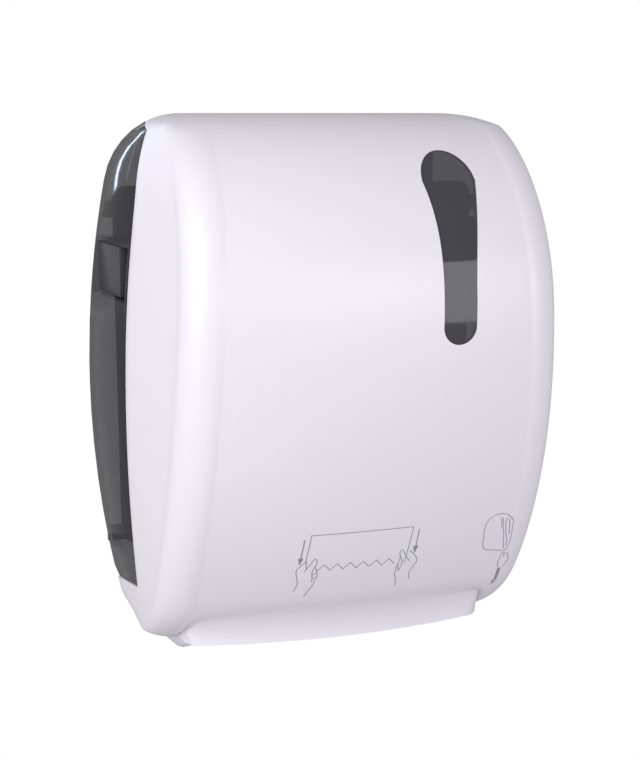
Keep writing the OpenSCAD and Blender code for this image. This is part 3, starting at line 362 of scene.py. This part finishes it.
def modify(obj, kind, **settings):
    """Adds a modifier with its settings and applies it."""
    alone(obj)
    m = obj.modifiers.new(kind.title(), kind)
    for key, value in settings.items():
        setattr(m, key, value)
    bpy.ops.object.modifier_apply(modifier=m.name)
    return obj


def round_edges(obj, width, angle):
    """Rounds the edges that are sharper than angle, in degrees."""
    modify(obj, "BEVEL", width=width, segments=2, limit_method="ANGLE", angle_limit=math.radians(angle),
           use_clamp_overlap=True)


def cut(obj, tool, how="DIFFERENCE"):
    """Boolean of obj with a tool object, which is thrown away."""
    modify(obj, "BOOLEAN", object=tool, operation=how, solver="EXACT")
    bpy.data.objects.remove(tool, do_unlink=True)


def smooth(obj, degrees):
    alone(obj)
    bpy.ops.object.shade_smooth_by_angle(angle=math.radians(degrees))
    return obj


def settle(obj):
    """Puts the place, turn and size of an object into its mesh."""
    alone(obj)
    bpy.ops.object.transform_apply(location=True, rotation=True, scale=True)
    return obj


def facing_front(obj, face):
    """Turns all faces round if the given one looks at the wall."""
    if face.normal.y > 0:
        editing(obj, bpy.ops.mesh.flip_normals)


def sheet_grid(name, rows):
    """Grid primitive whose points are set down on rows of (x, d, z) in millimetres."""
    m, n = len(rows), len(rows[0])
    bpy.ops.object.select_all(action="DESELECT")
    bpy.ops.mesh.primitive_grid_add(x_subdivisions=n - 1, y_subdivisions=m - 1, size=1)
    obj = bpy.context.object
    obj.name = name
    if len(obj.data.vertices) != m * n:
        raise RuntimeError(f"the grid has {len(obj.data.vertices)} points, not {m * n}")
    for v in obj.data.vertices:
        x, d, z = rows[v.index // n][v.index % n]
        v.co = (x * MM, -d * MM, z * MM)
    return settle(obj)


def prism(name, outline, d0, d1):
    """Upright outline of (x, z) in millimetres, swept from depth d0 to depth d1."""
    mesh = bpy.data.meshes.new(name)
    mesh.from_pydata([(x * MM, -d0 * MM, z * MM) for x, z in outline], [], [list(range(len(outline)))])
    obj = placed(name, mesh)
    reach = (d0 - d1) * MM

    def sweep():
        bpy.ops.mesh.extrude_region_move(TRANSFORM_OT_translate={"value": (0, reach, 0)})
        bpy.ops.mesh.select_all(action="SELECT")
        outward()

    return editing(obj, sweep)


def finished(obj, name, body, material, replaces=()):
    """The last steps of every piece: its name, its material, the body it rides on and what it stands for."""
    obj.name = obj.data.name = name
    obj.data.materials.clear()
    obj.data.materials.append(material)
    for p in obj.data.polygons:
        p.material_index = 0
    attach(obj, body)
    if replaces:
        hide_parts(*replaces)
    return obj


def body_of(node):
    for name, members in frame["record"]["behaviour"]["bodies"].items():
        if node in members:
            return name
    raise RuntimeError(f"no body holds {node}")


def eased(node, material, edge=0.3, angle=40):
    """A copy of a CAD node with its flat faces joined, its edges eased and its curves smooth.

    edge is the width of the easing in millimetres, for edges sharper than angle in degrees."""
    obj = frame["nodes"][node].copy()
    obj.data = obj.data.copy()
    obj.parent = None
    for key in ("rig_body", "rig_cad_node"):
        if key in obj:
            del obj[key]
    bpy.context.scene.collection.objects.link(obj)
    # Points closer than weld become one, and faces that turn by less than flat become one plane
    weld, flat, curved = 2e-6, math.radians(0.6), 38

    def join_faces():
        merge(weld)
        bpy.ops.mesh.dissolve_limited(angle_limit=flat, delimit={"NORMAL"})

    editing(obj, join_faces)
    if edge:
        round_edges(obj, edge * MM, angle)
    smooth(obj, curved)
    return finished(obj, node + "_eased", body_of(node), material, [node])


# Materials


def blank_tree(owner):
    """Empty node tree of a material or a world."""
    owner.use_nodes = True
    owner.node_tree.nodes.clear()
    return owner.node_tree


def add_node(tree, kind, settings=(), **links):
    """Adds a node. Settings go to its properties or sockets, links are {socket: output or value}."""
    node = tree.nodes.new(kind)
    for key, value in dict(settings).items():
        setattr(node, key, value)
    for key, value in links.items():
        numbered = key[0] == "_" and key[1:].isdigit()
        socket = node.inputs[int(key[1:]) if numbered else key.replace("_", " ")]
        if isinstance(value, bpy.types.NodeSocket):
            tree.links.new(value, socket)
        else:
            socket.default_value = value
    return node


def surface(name, base, rough, ior=None, tint=0.02, tint_mm=60.0, grain_mm=0.5, grain=0.02, rough_vary=0.04,
            alpha=1.0, streak=None):
    """Moulded, turned or rolled surface: its colour drifts widely and a fine grain breaks the gloss.

    tint_mm and grain_mm are the sizes of the two patterns in millimetres, and streak stretches the grain
    along an axis. A surface without an ior is a metal."""
    found = bpy.data.materials.get(name)
    if found:
        return found
    m = bpy.data.materials.new(name)
    t = blank_tree(m)
    # Noise repeats per metre, the height of its bumps in metres, and the least roughness
    per_metre, relief, glossiest = 1 / MM, 0.3 * MM, 0.02

    def noise(place, size_mm, detail):
        node = add_node(t, "ShaderNodeTexNoise", Vector=place, Scale=per_metre / size_mm, Detail=detail)
        return node.outputs["Fac"]

    place = add_node(t, "ShaderNodeTexCoord").outputs["Object"]
    wide = noise(place, tint_mm, 3.0)
    if streak:
        place = add_node(t, "ShaderNodeMapping", Vector=place, Scale=streak).outputs["Vector"]
    fine = noise(place, grain_mm, 4.0)
    base = tuple(base)
    darker = tuple(c * (1 - tint) for c in base) + (1,)
    lighter = tuple(min(c * (1 + tint), 1) for c in base) + (1,)
    ramp = add_node(t, "ShaderNodeMix", {"data_type": "RGBA"}, _0=wide, _6=darker, _7=lighter)
    gloss = add_node(t, "ShaderNodeMapRange", Value=fine, To_Min=max(rough - rough_vary, glossiest),
                     To_Max=rough + rough_vary)
    bump = add_node(t, "ShaderNodeBump", Height=fine, Strength=grain, Distance=relief)
    shader = add_node(t, "ShaderNodeBsdfPrincipled", Base_Color=ramp.outputs[2],
                      Roughness=gloss.outputs["Result"], Normal=bump.outputs["Normal"],
                      Metallic=0.0 if ior else 1.0, Alpha=alpha)
    if ior:
        shader.inputs["IOR"].default_value = ior
    add_node(t, "ShaderNodeOutputMaterial", Surface=shader.outputs[0])
    m.diffuse_color = base + (alpha,)
    return m


def materials():
    """The finishes of the dispenser, by a maker's names."""
    c = bpy.context.scene.dispenser_colours
    return {
        # ABS moulded in a polished tool with a light spark finish: bright, soft reflections and a faint grain
        "white": surface("abs_white_moulded", c.cover, 0.36, ior=1.54, tint=0.008, tint_mm=120, grain_mm=0.9,
                         grain=0.03, rough_vary=0.03),
        # Tinted polycarbonate moulded clear: deep gloss, and light passes through the thin wall
        "smoke": surface("polycarbonate_smoke_moulded", c.smoke, 0.1, ior=1.585, tint=0.04, tint_mm=80,
                         grain_mm=4.0, grain=0.01, rough_vary=0.02, alpha=0.78),
        # The same resin moulded thinner and better polished: the arms and the roll show faintly through it
        "lens": surface("polycarbonate_window_polished", c.window, 0.06, ior=1.585, tint=0.03, tint_mm=60,
                        grain_mm=6.0, grain=0.006, rough_vary=0.02, alpha=0.83),
        # ABS moulded in smoke grey: a shade lighter than the panel, with a soft gloss
        "button": surface("abs_grey_moulded", c.button, 0.28, ior=1.54, tint=0.02, tint_mm=40, grain_mm=0.7,
                          grain=0.04),
        # Filled polypropylene, moulded plain: matt with a slight flow mottle
        "inside": surface("polypropylene_light_moulded", c.inside, 0.5, ior=1.49, tint=0.03, tint_mm=50,
                          grain_mm=0.8, grain=0.08),
        # Glass filled nylon, moulded: dark, matt and slightly streaked by its fibres
        "module": surface("nylon_slate_moulded", c.module, 0.5, ior=1.53, tint=0.08, tint_mm=25,
                          grain_mm=0.6, grain=0.15, rough_vary=0.08, streak=(1, 1, 0.25)),
        # Acetal, moulded: waxy off white with a soft sheen
        "acetal": surface("acetal_natural_moulded", c.acetal, 0.34, ior=1.48, tint=0.02, tint_mm=20,
                          grain_mm=0.8, grain=0.04),
        # Aluminium tube, satin anodised: fine lines run round it
        "drum": surface("aluminium_satin_anodised", linear("#c9cacd"), 0.34, tint=0.03, tint_mm=30,
                        grain_mm=0.4, grain=0.12, rough_vary=0.06, streak=(1, 0.06, 0.06)),
        # Nitrile rubber, ground: black, dry and finely pitted
        "rubber": surface("nitrile_rubber_ground", c.rubber, 0.75, ior=1.52, tint=0.1, tint_mm=15,
                          grain_mm=0.5, grain=0.4, rough_vary=0.1),
        # Steel rod, bright zinc plated: blueish bright with faint draw lines along it
        "zinc": surface("steel_zinc_plated", linear("#b9bcc0"), 0.28, tint=0.05, tint_mm=12,
                        grain_mm=0.3, grain=0.08, rough_vary=0.08, streak=(0.1, 1, 1)),
        # Music wire, cold drawn: darker steel with tight bright lines
        "wire": surface("spring_steel_drawn", linear("#8d8f94"), 0.3, tint=0.08, tint_mm=6,
                        grain_mm=0.3, grain=0.1, rough_vary=0.08),
        # Hardened strip, polished: bright flat steel with grinding lines across the edge
        "blade": surface("stainless_strip_polished", linear("#cfd2d6"), 0.18, tint=0.03, tint_mm=20,
                         grain_mm=0.3, grain=0.08, rough_vary=0.05, streak=(1, 1, 0.08)),
        # ABS moulded in green, so that the user finds the wheel: satin
        "wheel": surface("abs_green_moulded", c.wheel, 0.38, ior=1.54, tint=0.03, tint_mm=30, grain_mm=0.7,
                         grain=0.06),
        # Pad print: thin matt ink on the cover
        "print": surface("ink_grey_pad_printed", c.print, 0.5, ior=1.5, tint=0.04, tint_mm=8, grain_mm=0.4,
                         grain=0.05),
    }


def operator(name, label, about, make):
    """One operator for a piece or a group of like pieces. Each make gets the skin, sizes and materials."""

    def execute(self, context):
        make(Skin(context.scene.dispenser_sizes), context.scene.dispenser_sizes, materials())
        return {"FINISHED"}

    return type("DISPENSER_OT_" + name, (bpy.types.Operator,), {
        "__doc__": about, "bl_idname": "dispenser." + name, "bl_label": label, "bl_options": {"REGISTER"},
        "execute": execute})


# The pieces


def window_outline(grow=0.0, steps=28):
    """Comma shaped outline of the window, (x, z) in millimetres, grown by an amount."""
    # Centres and radii of the head and the foot, and the height from which the edges bend towards the head
    head_x, head_z, head_r = 51.5, 127.0, 19.0
    foot_x, foot_z, foot_r = 48.6, 37.5, 11.6
    bend = 62.0
    # How late the inner and the outer edge bend
    inner_turn, outer_turn = 3, 1.55

    def half_round(x, z, r, start):
        turns = [math.pi * (start + i / steps) for i in range(steps + 1)]
        return [(x + (r + grow) * math.cos(a), z + (r + grow) * math.sin(a)) for a in turns]

    def bent(z):
        return max(z - bend, 0) / (head_z - bend)

    levels = [foot_z + (head_z - foot_z) * i / steps for i in range(1, steps)]
    inner, outer = foot_x - foot_r, foot_x + foot_r
    inward, outward_by = inner - head_x + head_r, head_x + head_r - outer
    points = half_round(head_x, head_z, head_r, 0)
    points += [(inner - inward * bent(z) ** inner_turn - grow, z) for z in levels[::-1]]
    points += half_round(foot_x, foot_z, foot_r, 1)
    points += [(outer + outward_by * bent(z) ** outer_turn + grow, z) for z in levels]
    return points


def window_prism(name, grow=0.0):
    """The window's outline as a block that reaches through the front."""
    behind, before = 120, 215
    return prism(name, window_outline(grow), behind, before)


def make_cover(skin, sizes, mat):
    n = sizes.columns
    # Columns lie closer over the outer fifth, where the spout's corners are
    close_from, close_step, close_columns = 0.8, 0.0125, 17
    close = {round(close_from + i * close_step, 4) for i in range(close_columns)}
    fronts = sorted({round(i / n, 4) for i in range(n)} | close)
    rows = []
    for z in skin.heights(sizes.rows):
        half = skin.half_row(z, fronts, sizes.corners, sizes.sides)
        rows.append([(-x, d, h) for x, d, h in half[:0:-1]] + half)
    obj = sheet_grid("cover", rows)

    # The flat top closes between the last level's two halves
    bm = bmesh.new()
    bm.from_mesh(obj.data)
    bm.verts.ensure_lookup_table()
    bm.faces.new(bm.verts[-len(rows[0]):])
    bm.normal_update()
    bm.to_mesh(obj.data)
    bm.free()
    editing(obj, merge, outward)
    front = Vector((0, -sizes.depth, 0))
    facing_front(obj, min(obj.data.polygons, key=lambda p: (p.center - front).length))
    modify(obj, "SOLIDIFY", thickness=sizes.wall, offset=-1, use_rim=True, use_even_offset=False)

    # The rim gets a small round before the window is cut; the crease round the spout is shaded softly
    round_edges(obj, sizes.edge, 78)
    cut(obj, window_prism("window_cut"))
    smooth(obj, 60)
    finished(obj, "cover_shell", "cover", mat["white"], ["front_cover"])
    for node in ("hinge_lug_left", "hinge_lug_right", "catch_left", "catch_right"):
        eased(node, mat["white"], 0.4)


def front_sheet(skin, name, inset, thick, margin):
    """Curved plate just inside the front face round the window."""
    across, up = 16, 60
    outline = window_outline(margin)
    (x0, x1), (z0, z1) = ((min(side), max(side)) for side in zip(*outline))
    xs = [x0 + (x1 - x0) * j / across for j in range(across + 1)]
    zs = [z0 + (z1 - z0) * i / up for i in range(up + 1)]
    obj = sheet_grid(name, [[(x, skin.face_d(x, z, inset), z) for x in xs] for z in zs])
    editing(obj, outward)
    facing_front(obj, obj.data.polygons[0])
    return modify(obj, "SOLIDIFY", thickness=thick * MM, offset=-1)


def make_window(skin, sizes, mat):
    # The lens lies just under the front and clears its opening; a flange behind the cover holds it
    clearance, lap = 0.3, 3.3
    lens = front_sheet(skin, "lens", inset=0.45, thick=3.2, margin=8)
    cut(lens, window_prism("lens_edge", -clearance), "INTERSECT")
    flange = front_sheet(skin, "flange", inset=3.1, thick=1.4, margin=12)
    cut(flange, window_prism("flange_edge", lap), "INTERSECT")
    cut(lens, flange, "UNION")
    smooth(lens, 30)
    finished(lens, "window_lens", "cover", mat["lens"], ["window_pane"])


def make_side_panels(skin, sizes, mat):
    for side in ("left", "right"):
        eased("side_panel_" + side, mat["smoke"], 0.35, 50)


def make_buttons(skin, sizes, mat):
    for side in ("left", "right"):
        eased("release_button_" + side, mat["button"], 0.6, 50)


def tube(name, points, radius, sides=3):
    """Round wire along points in metres."""
    curve = bpy.data.curves.new(name, "CURVE")
    curve.dimensions = "3D"
    curve.bevel_depth = radius
    curve.bevel_resolution = sides
    curve.use_fill_caps = True
    spline = curve.splines.new("POLY")
    spline.points.add(len(points) - 1)
    for p, co in zip(spline.points, points):
        p.co = (*co, 1)
    alone(placed(name, curve))
    bpy.ops.object.convert(target="MESH")
    return bpy.context.object


def helix(turns, radius, height, per_turn=28):
    """Points of a coil that climbs along its third coordinate."""
    n = turns * per_turn
    angles = [2 * math.pi * i / per_turn for i in range(n + 1)]
    return [(radius * math.cos(a), radius * math.sin(a), height * i / n) for i, a in enumerate(angles)]


def make_springs(skin, sizes, mat):
    """Coil springs of round wire. Those of the yoke and the buttons shorten with their joints."""
    crank_wire, wire = 0.7 * MM, 0.5 * MM

    def wound(node, points, radius):
        name = node + "_wire"
        obj = smooth(tube(name, points, radius), 60)
        return finished(obj, name, "chassis", mat["wire"], [node])

    # Return spring from the crank pin up to the post, with a hook round each and a short stub to each
    low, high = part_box("crank_spring")
    x, y = (low.x + high.x) / 2, -52 * MM
    hook, stub, coil_r, turns = 3.5 * MM, 0.6 * MM, 4 * MM, 12
    pin_z, post_z = -100 * MM, -40 * MM
    coil_low, coil_high = pin_z + 2 * hook, post_z - 2 * hook

    def ring(z, start, stop):
        angles = [math.radians(a) for a in range(start, stop, 12)]
        return [(x, y - hook * math.cos(a), z + hook * math.sin(a)) for a in angles]

    coil = [(x + p[0], y + p[1], coil_low + p[2]) for p in helix(turns, coil_r, coil_high - coil_low)]
    points = [*ring(pin_z, 140, 446), (x, y, pin_z + hook + stub), *coil, (x, y, post_z - hook - stub)]
    wound("crank_spring", points + ring(post_z, -80, 222), crank_wire)

    for side in ("left", "right"):
        low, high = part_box("yoke_spring_" + side)
        cx, cz = (low.x + high.x) / 2, (low.z + high.z) / 2
        turns, coil_r, reach = 4, 3 * MM, high.y - low.y - 2 * wire
        points = [(cx + p[0], high.y - wire - p[2], cz + p[1]) for p in helix(turns, coil_r, reach)]
        spring = wound("yoke_spring_" + side, points, wire)
        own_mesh(spring)

        low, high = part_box("button_spring_" + side)
        cy, cz = (low.y + high.y) / 2, (low.z + high.z) / 2
        turns, coil_r, reach = 3, 6 * MM, high.x - low.x - 2 * wire
        points = [(low.x + wire + p[2], cy + p[0], cz + p[1]) for p in helix(turns, coil_r, reach)]
        spring = wound("button_spring_" + side, points, wire)
        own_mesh(spring)


# Printed drawing, (x, z) in millimetres on the front: a towel torn by two hands, and one pulled out
# of a small case
TOWEL_TOP = [(-41, -124), (-40, -101.5), (31, -101.5), (30.6, -131.5)]
TEETH = [(-32.1 + 4.6 * i, -131.9 if i % 2 == 0 else -126.8) for i in range(13)]
LEFT_HAND = [
    [(-45.2, -149), (-44, -146), (-43.2, -142.5), (-44.6, -137.5), (-46.2, -131.5), (-45.9, -129),
     (-43.6, -126), (-40.4, -122.8), (-40.2, -126), (-39.4, -129.6), (-40.6, -132)],
    [(-39.4, -129.6), (-37.1, -125.2), (-36, -122.6), (-34.5, -121), (-32.9, -123), (-33, -125.5),
     (-33.8, -128), (-34.8, -131.3), (-34.9, -133.6), (-33.9, -138.4), (-33.8, -141.5)],
    [(-33.8, -128), (-32.4, -130.4), (-31.5, -133.2), (-30.7, -136.5), (-31.1, -138.8), (-32, -140),
     (-32, -143), (-33.1, -146), (-34.5, -149), (-36.7, -155)],
    [(-34.6, -135.2), (-32, -133.4)],
    [(-33.9, -138.4), (-31.8, -136.9)],
]
RIGHT_HAND = [
    [(34.4, -130.9), (31.4, -127.4), (29.3, -123.9), (27.7, -121.2), (26.7, -120.4), (25.7, -120.7),
     (25.4, -122.2), (25.8, -124.2), (26.7, -126.5), (26.4, -129.5), (26.2, -132.4), (25.4, -134.7),
     (25.8, -138.1), (25.7, -141.9), (27.6, -145.8), (29.4, -153.4)],
    [(26.7, -126.5), (28.7, -129.8), (29.2, -133.4), (28.3, -136.4), (27.6, -139.6)],
    [(26.2, -132.4), (26.7, -135.7), (27.9, -138.4)],
    [(32.4, -121.6), (35.5, -124.5), (39.4, -129), (40, -132.4), (38.3, -136.4), (36.6, -141.4),
     (37.1, -144.5), (38.4, -147.9)],
]
SMALL_CASE = [
    [(108.5, -133.8), (95.8, -131.2), (91.7, -129.6), (89.4, -125.5), (88.4, -120), (87.3, -112.5),
     (87.1, -107.8), (88.9, -103.3), (92.9, -100.7), (97.9, -100.2), (103, -101.4), (106.9, -104.5),
     (109.4, -107.7), (110.1, -113.3), (111.4, -120.8), (111.7, -127.2), (111, -132), (109.4, -135.5)],
    [(98.8, -103), (101, -112.2)],
    [(100.5, -104.6), (102, -111.5), (105.1, -120), (106.6, -126.7), (109, -132.6)],
    [(103.8, -104.1), (103.5, -109), (105.4, -115.8), (109.2, -125), (109.4, -129.5)],
    [(106, -106.1), (107.6, -112.4), (109, -119.1)],
    [(109.6, -150), (108, -144), (109, -136.2), (113.2, -137), (115.9, -142), (115.8, -144.8),
     (113.7, -150.4)],
    [(110.5, -136.6), (111.2, -140.2)],
]
# Start, neck and tip of each arrow, and the widths of its shaft and head
ARROWS = [
    ((-44.2, -104.6), (-44.7, -119.8), (-44.9, -125.2), 0.85, 3.8),
    ((35.6, -104), (36.1, -118), (36.4, -124.3), 0.8, 3.8),
    ((111.3, -150.8), (112.3, -163), (111.3, -167.6), 2.5, 4.8),
]


def ribbon(bm, skin, points, width):
    """A flat strip of ink along points on the front, half sunk in the cover and mitred at its corners."""
    # Thickness each side of the front, longest straight piece, and the sharpest mitre as a cosine
    proud, longest, mitre = 0.05, 2.5, 0.5
    line = []
    for (x0, z0), (x1, z1) in zip(points, points[1:]):
        n = max(1, math.ceil(math.hypot(x1 - x0, z1 - z0) / longest))
        line += [(x0 + (x1 - x0) * i / n, z0 + (z1 - z0) * i / n) for i in range(n)]
    line.append(points[-1])
    edges = []
    for i, p in enumerate(line):
        a, b = Vector(line[max(i - 1, 0)]), Vector(line[min(i + 1, len(line) - 1)])
        p = Vector(p)
        before = (p - a).normalized() if i else (b - p).normalized()
        after = (b - p).normalized() if i < len(line) - 1 else before
        mid = before + after
        mid = mid.normalized() if mid.length > 1e-6 else before
        across = Vector((-mid.y, mid.x)) * width / 2 / max(mid.dot(after), mitre)
        edges.append((p + across, p - across))

    def layer(rise):
        return [[bm.verts.new((q.x * MM, -(skin.face_d(q.x, q.y) + rise) * MM, q.y * MM)) for q in pair]
                for pair in edges]

    top, low = layer(proud), layer(-proud)
    for i in range(len(edges) - 1):
        bm.faces.new((top[i][0], top[i + 1][0], top[i + 1][1], top[i][1]))
        bm.faces.new((low[i][1], low[i + 1][1], low[i + 1][0], low[i][0]))
        bm.faces.new((top[i][0], low[i][0], low[i + 1][0], top[i + 1][0]))
        bm.faces.new((top[i][1], top[i + 1][1], low[i + 1][1], low[i][1]))
    for i, flip in ((0, False), (-1, True)):
        loop = [top[i][0], top[i][1], low[i][1], low[i][0]]
        bm.faces.new(loop[::-1] if flip else loop)


def make_print(skin, sizes, mat):
    bm = bmesh.new()
    width = sizes.line / MM
    for points in [TOWEL_TOP, TEETH, *LEFT_HAND, *RIGHT_HAND, *SMALL_CASE]:
        ribbon(bm, skin, points, width)
    for start, neck, tip, thick, head in ARROWS:
        ribbon(bm, skin, [start, neck], thick)
        # The head narrows to the tip in short steps, the last of them still a little wide
        axis, n = Vector(tip) - Vector(neck), 6
        for i in range(n):
            a, b = Vector(neck) + axis * i / n, Vector(neck) + axis * (i + 1) / n
            ribbon(bm, skin, [tuple(a), tuple(b)], head * (1 - (i + 0.5) / (n + 0.5)))
    mesh = bpy.data.meshes.new("print")
    bm.normal_update()
    bm.to_mesh(mesh)
    bm.free()
    obj = editing(placed("print", mesh), outward)
    finished(obj, "printed_drawing", "cover", mat["print"])


def make_chassis(skin, sizes, mat):
    eased("back_plate", mat["inside"], 0.4)
    for side in ("left", "right"):
        eased("side_frame_" + side, mat["module"], 0.4)
        eased("drum_bush_" + side, mat["acetal"])
        eased("hinge_pin_" + side, mat["zinc"])
        eased("arm_pin_" + side, mat["zinc"])
    for node in ("rear_guide", "front_guide"):
        eased(node, mat["module"])
    eased("cam_ring", mat["acetal"])
    for node in ("tie_bar", "spring_post", "pawl_pin", "panel_screws", "frame_screws"):
        eased(node, mat["zinc"])


def make_drum(skin, sizes, mat):
    eased("drum_shell", mat["drum"])
    for side in ("left", "right"):
        eased("drum_cap_" + side, mat["acetal"])
    eased("grip_bands", mat["rubber"], 0)
    eased("drum_shaft", mat["zinc"], 0.4)
    eased("crank", mat["acetal"])
    eased("ratchet_wheel", mat["acetal"], 0.2)
    eased("hand_wheel", mat["wheel"], 0.5, 50)


def make_knife(skin, sizes, mat):
    eased("knife_shaft", mat["zinc"])
    eased("knife_holder", mat["acetal"])
    eased("knife_blade", mat["blade"], 0.08)
    eased("knife_lever", mat["acetal"])
    eased("cam_follower", mat["module"])
    eased("pawl", mat["acetal"])


def make_roller(skin, sizes, mat):
    eased("yoke_rod", mat["zinc"], 0.4)
    eased("roller_shaft", mat["zinc"], 0.4)
    eased("roller_sleeve", mat["rubber"], 0.5)
    for side in ("left", "right"):
        eased("yoke_arm_" + side, mat["acetal"])


def make_roll_holder(skin, sizes, mat):
    for side in ("left", "right"):
        eased("roll_arm_" + side, mat["inside"], 0.4)
        eased("roll_hub_" + side, mat["module"], 0.5)


def area_light(name, place, aim, size, power, tint="#ffffff"):
    light = bpy.data.lights.new(name, "AREA")
    light.shape = "RECTANGLE"
    light.size, light.size_y = size
    light.energy = power
    light.color = linear(tint)
    obj = placed(name, light)
    obj.location = place
    obj.rotation_euler = (Vector(aim) - Vector(place)).to_track_quat("-Z", "Y").to_euler()
    return obj


def make_stage(skin, sizes, mat):
    scene = bpy.context.scene
    # Pale floor well below the wall mounted case; it shows white and takes no part in lighting the case
    bpy.ops.object.select_all(action="DESELECT")
    floor_size, floor_z = 60, -1.6
    bpy.ops.mesh.primitive_plane_add(size=floor_size, location=(0, 0, floor_z))
    floor = bpy.context.object
    floor.name = "floor"
    settle(floor)
    m = bpy.data.materials.new("floor_white")
    t = blank_tree(m)
    glow = add_node(t, "ShaderNodeEmission", Color=(1, 1, 1, 1), Strength=1.0)
    add_node(t, "ShaderNodeOutputMaterial", Surface=glow.outputs[0])
    floor.data.materials.append(m)
    floor.visible_diffuse = floor.visible_glossy = floor.visible_transmission = False
    floor.visible_shadow = False

    world = bpy.data.worlds.new("studio")
    scene.world = world
    t = blank_tree(world)
    room = (*linear("#f6f4fa"), 1)
    # Reflections see a dimmer room, so that the smoke panels keep their depth
    soft_light, dim_light = 0.53, 0.24
    ray = add_node(t, "ShaderNodeLightPath")
    soft = add_node(t, "ShaderNodeBackground", Color=room, Strength=soft_light)
    dim = add_node(t, "ShaderNodeBackground", Color=room, Strength=dim_light)
    lit = add_node(t, "ShaderNodeMixShader", Fac=ray.outputs["Is Glossy Ray"], _1=soft.outputs[0],
                   _2=dim.outputs[0])
    white = add_node(t, "ShaderNodeBackground", Color=(1, 1, 1, 1), Strength=1.0)
    mix = add_node(t, "ShaderNodeMixShader", Fac=ray.outputs["Is Camera Ray"], _1=lit.outputs[0],
                   _2=white.outputs[0])
    add_node(t, "ShaderNodeOutputWorld", Surface=mix.outputs[0])

    area_light("key", (-1.9, -0.75, 0.62), (0, -0.1, 0.02), (1.0, 1.3), 27.5, "#fffdfd")
    area_light("fill", (0.75, -2.1, 0.25), (0.03, -0.1, 0), (1.8, 1.2), 16.8, "#fbfbff")
    area_light("bounce", (-0.5, -1.1, -0.95), (0, -0.1, -0.2), (1.2, 0.5), 0.9, "#fffcfd")
    # A narrow strip behind the left edge, seen only as a streak on the smoke panel's rounded upper edge
    strip = area_light("edge_strip", (-0.32, 0.93, 0.4), (-0.13, -0.03, 0.1), (0.035, 0.6), 0.7, "#cfdcff")
    strip.rotation_euler.rotate_axis("Z", math.radians(40))
    strip.visible_diffuse = False

    # The camera that was fitted to the photograph: it looks down by pitch and aside by turn, in degrees
    pitch, turn = 11.22, -16.99
    camera = placed("camera", bpy.data.cameras.new("camera"))
    camera.location = (-0.2832, -0.9867, 0.171)
    camera.rotation_euler = Euler((math.radians(90 - pitch), 0, math.radians(turn)))
    camera.data.lens = 64.24
    camera.data.sensor_width = 36
    camera.data.sensor_fit = "AUTO"
    camera.data.clip_start, camera.data.clip_end = 0.01, 100
    scene.camera = camera
    scene.view_settings.view_transform = "Standard"
    scene.view_settings.look = "None"
    scene.view_settings.exposure = 0
    scene.view_settings.gamma = 1


STEPS = [
    operator("cover", "Cover", "Bowed white cover with its spout, hinge lugs and catches", make_cover),
    operator("window", "Window", "Smoke window in the front", make_window),
    operator("side_panels", "Side panels", "Smoke side panels with their pockets", make_side_panels),
    operator("buttons", "Release buttons", "Grey release buttons in the side panels", make_buttons),
    operator("springs", "Springs", "Coil springs of crank, roller and buttons", make_springs),
    operator("print", "Printed drawing", "Line drawing printed on the front", make_print),
    operator("chassis", "Back plate and frames", "Back plate, frames, guides, pins and screws", make_chassis),
    operator("drum", "Drum", "Paper drum with its bands, crank, ratchet and hand wheel", make_drum),
    operator("knife", "Knife", "Knife, its holder and lever, and the pawl", make_knife),
    operator("roller", "Pressure roller", "Sprung pressure roller and its arms", make_roller),
    operator("roll_holder", "Roll holder", "Arms and hubs that carry the roll", make_roll_holder),
    operator("stage", "Stage", "Floor, soft light and camera", make_stage),
]


class DISPENSER_PT_panel(bpy.types.Panel):
    """Lists the pieces of the dispenser, its sizes and its colours."""

    bl_label = "Roll Towel Dispenser"
    bl_idname = "DISPENSER_PT_panel"
    bl_space_type = "VIEW_3D"
    bl_region_type = "UI"
    bl_category = "Dispenser"

    def draw(self, context):
        for step in STEPS:
            self.layout.operator(step.bl_idname)
        for group in (context.scene.dispenser_sizes, context.scene.dispenser_colours):
            box = self.layout.box()
            for name in group.__annotations__:
                box.prop(group, name)


CLASSES = [DispenserSizes, DispenserColours, *STEPS, DISPENSER_PT_panel]


def register():
    for c in CLASSES:
        bpy.utils.register_class(c)
    bpy.types.Scene.dispenser_sizes = PointerProperty(type=DispenserSizes)
    bpy.types.Scene.dispenser_colours = PointerProperty(type=DispenserColours)


def unregister():
    del bpy.types.Scene.dispenser_sizes
    del bpy.types.Scene.dispenser_colours
    for c in reversed(CLASSES):
        bpy.utils.unregister_class(c)


def main():
    register()
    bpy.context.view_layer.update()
    for step in STEPS:
        group, name = step.bl_idname.split(".")
        getattr(getattr(bpy.ops, group), name)()


if __name__ == "__main__":
    main()
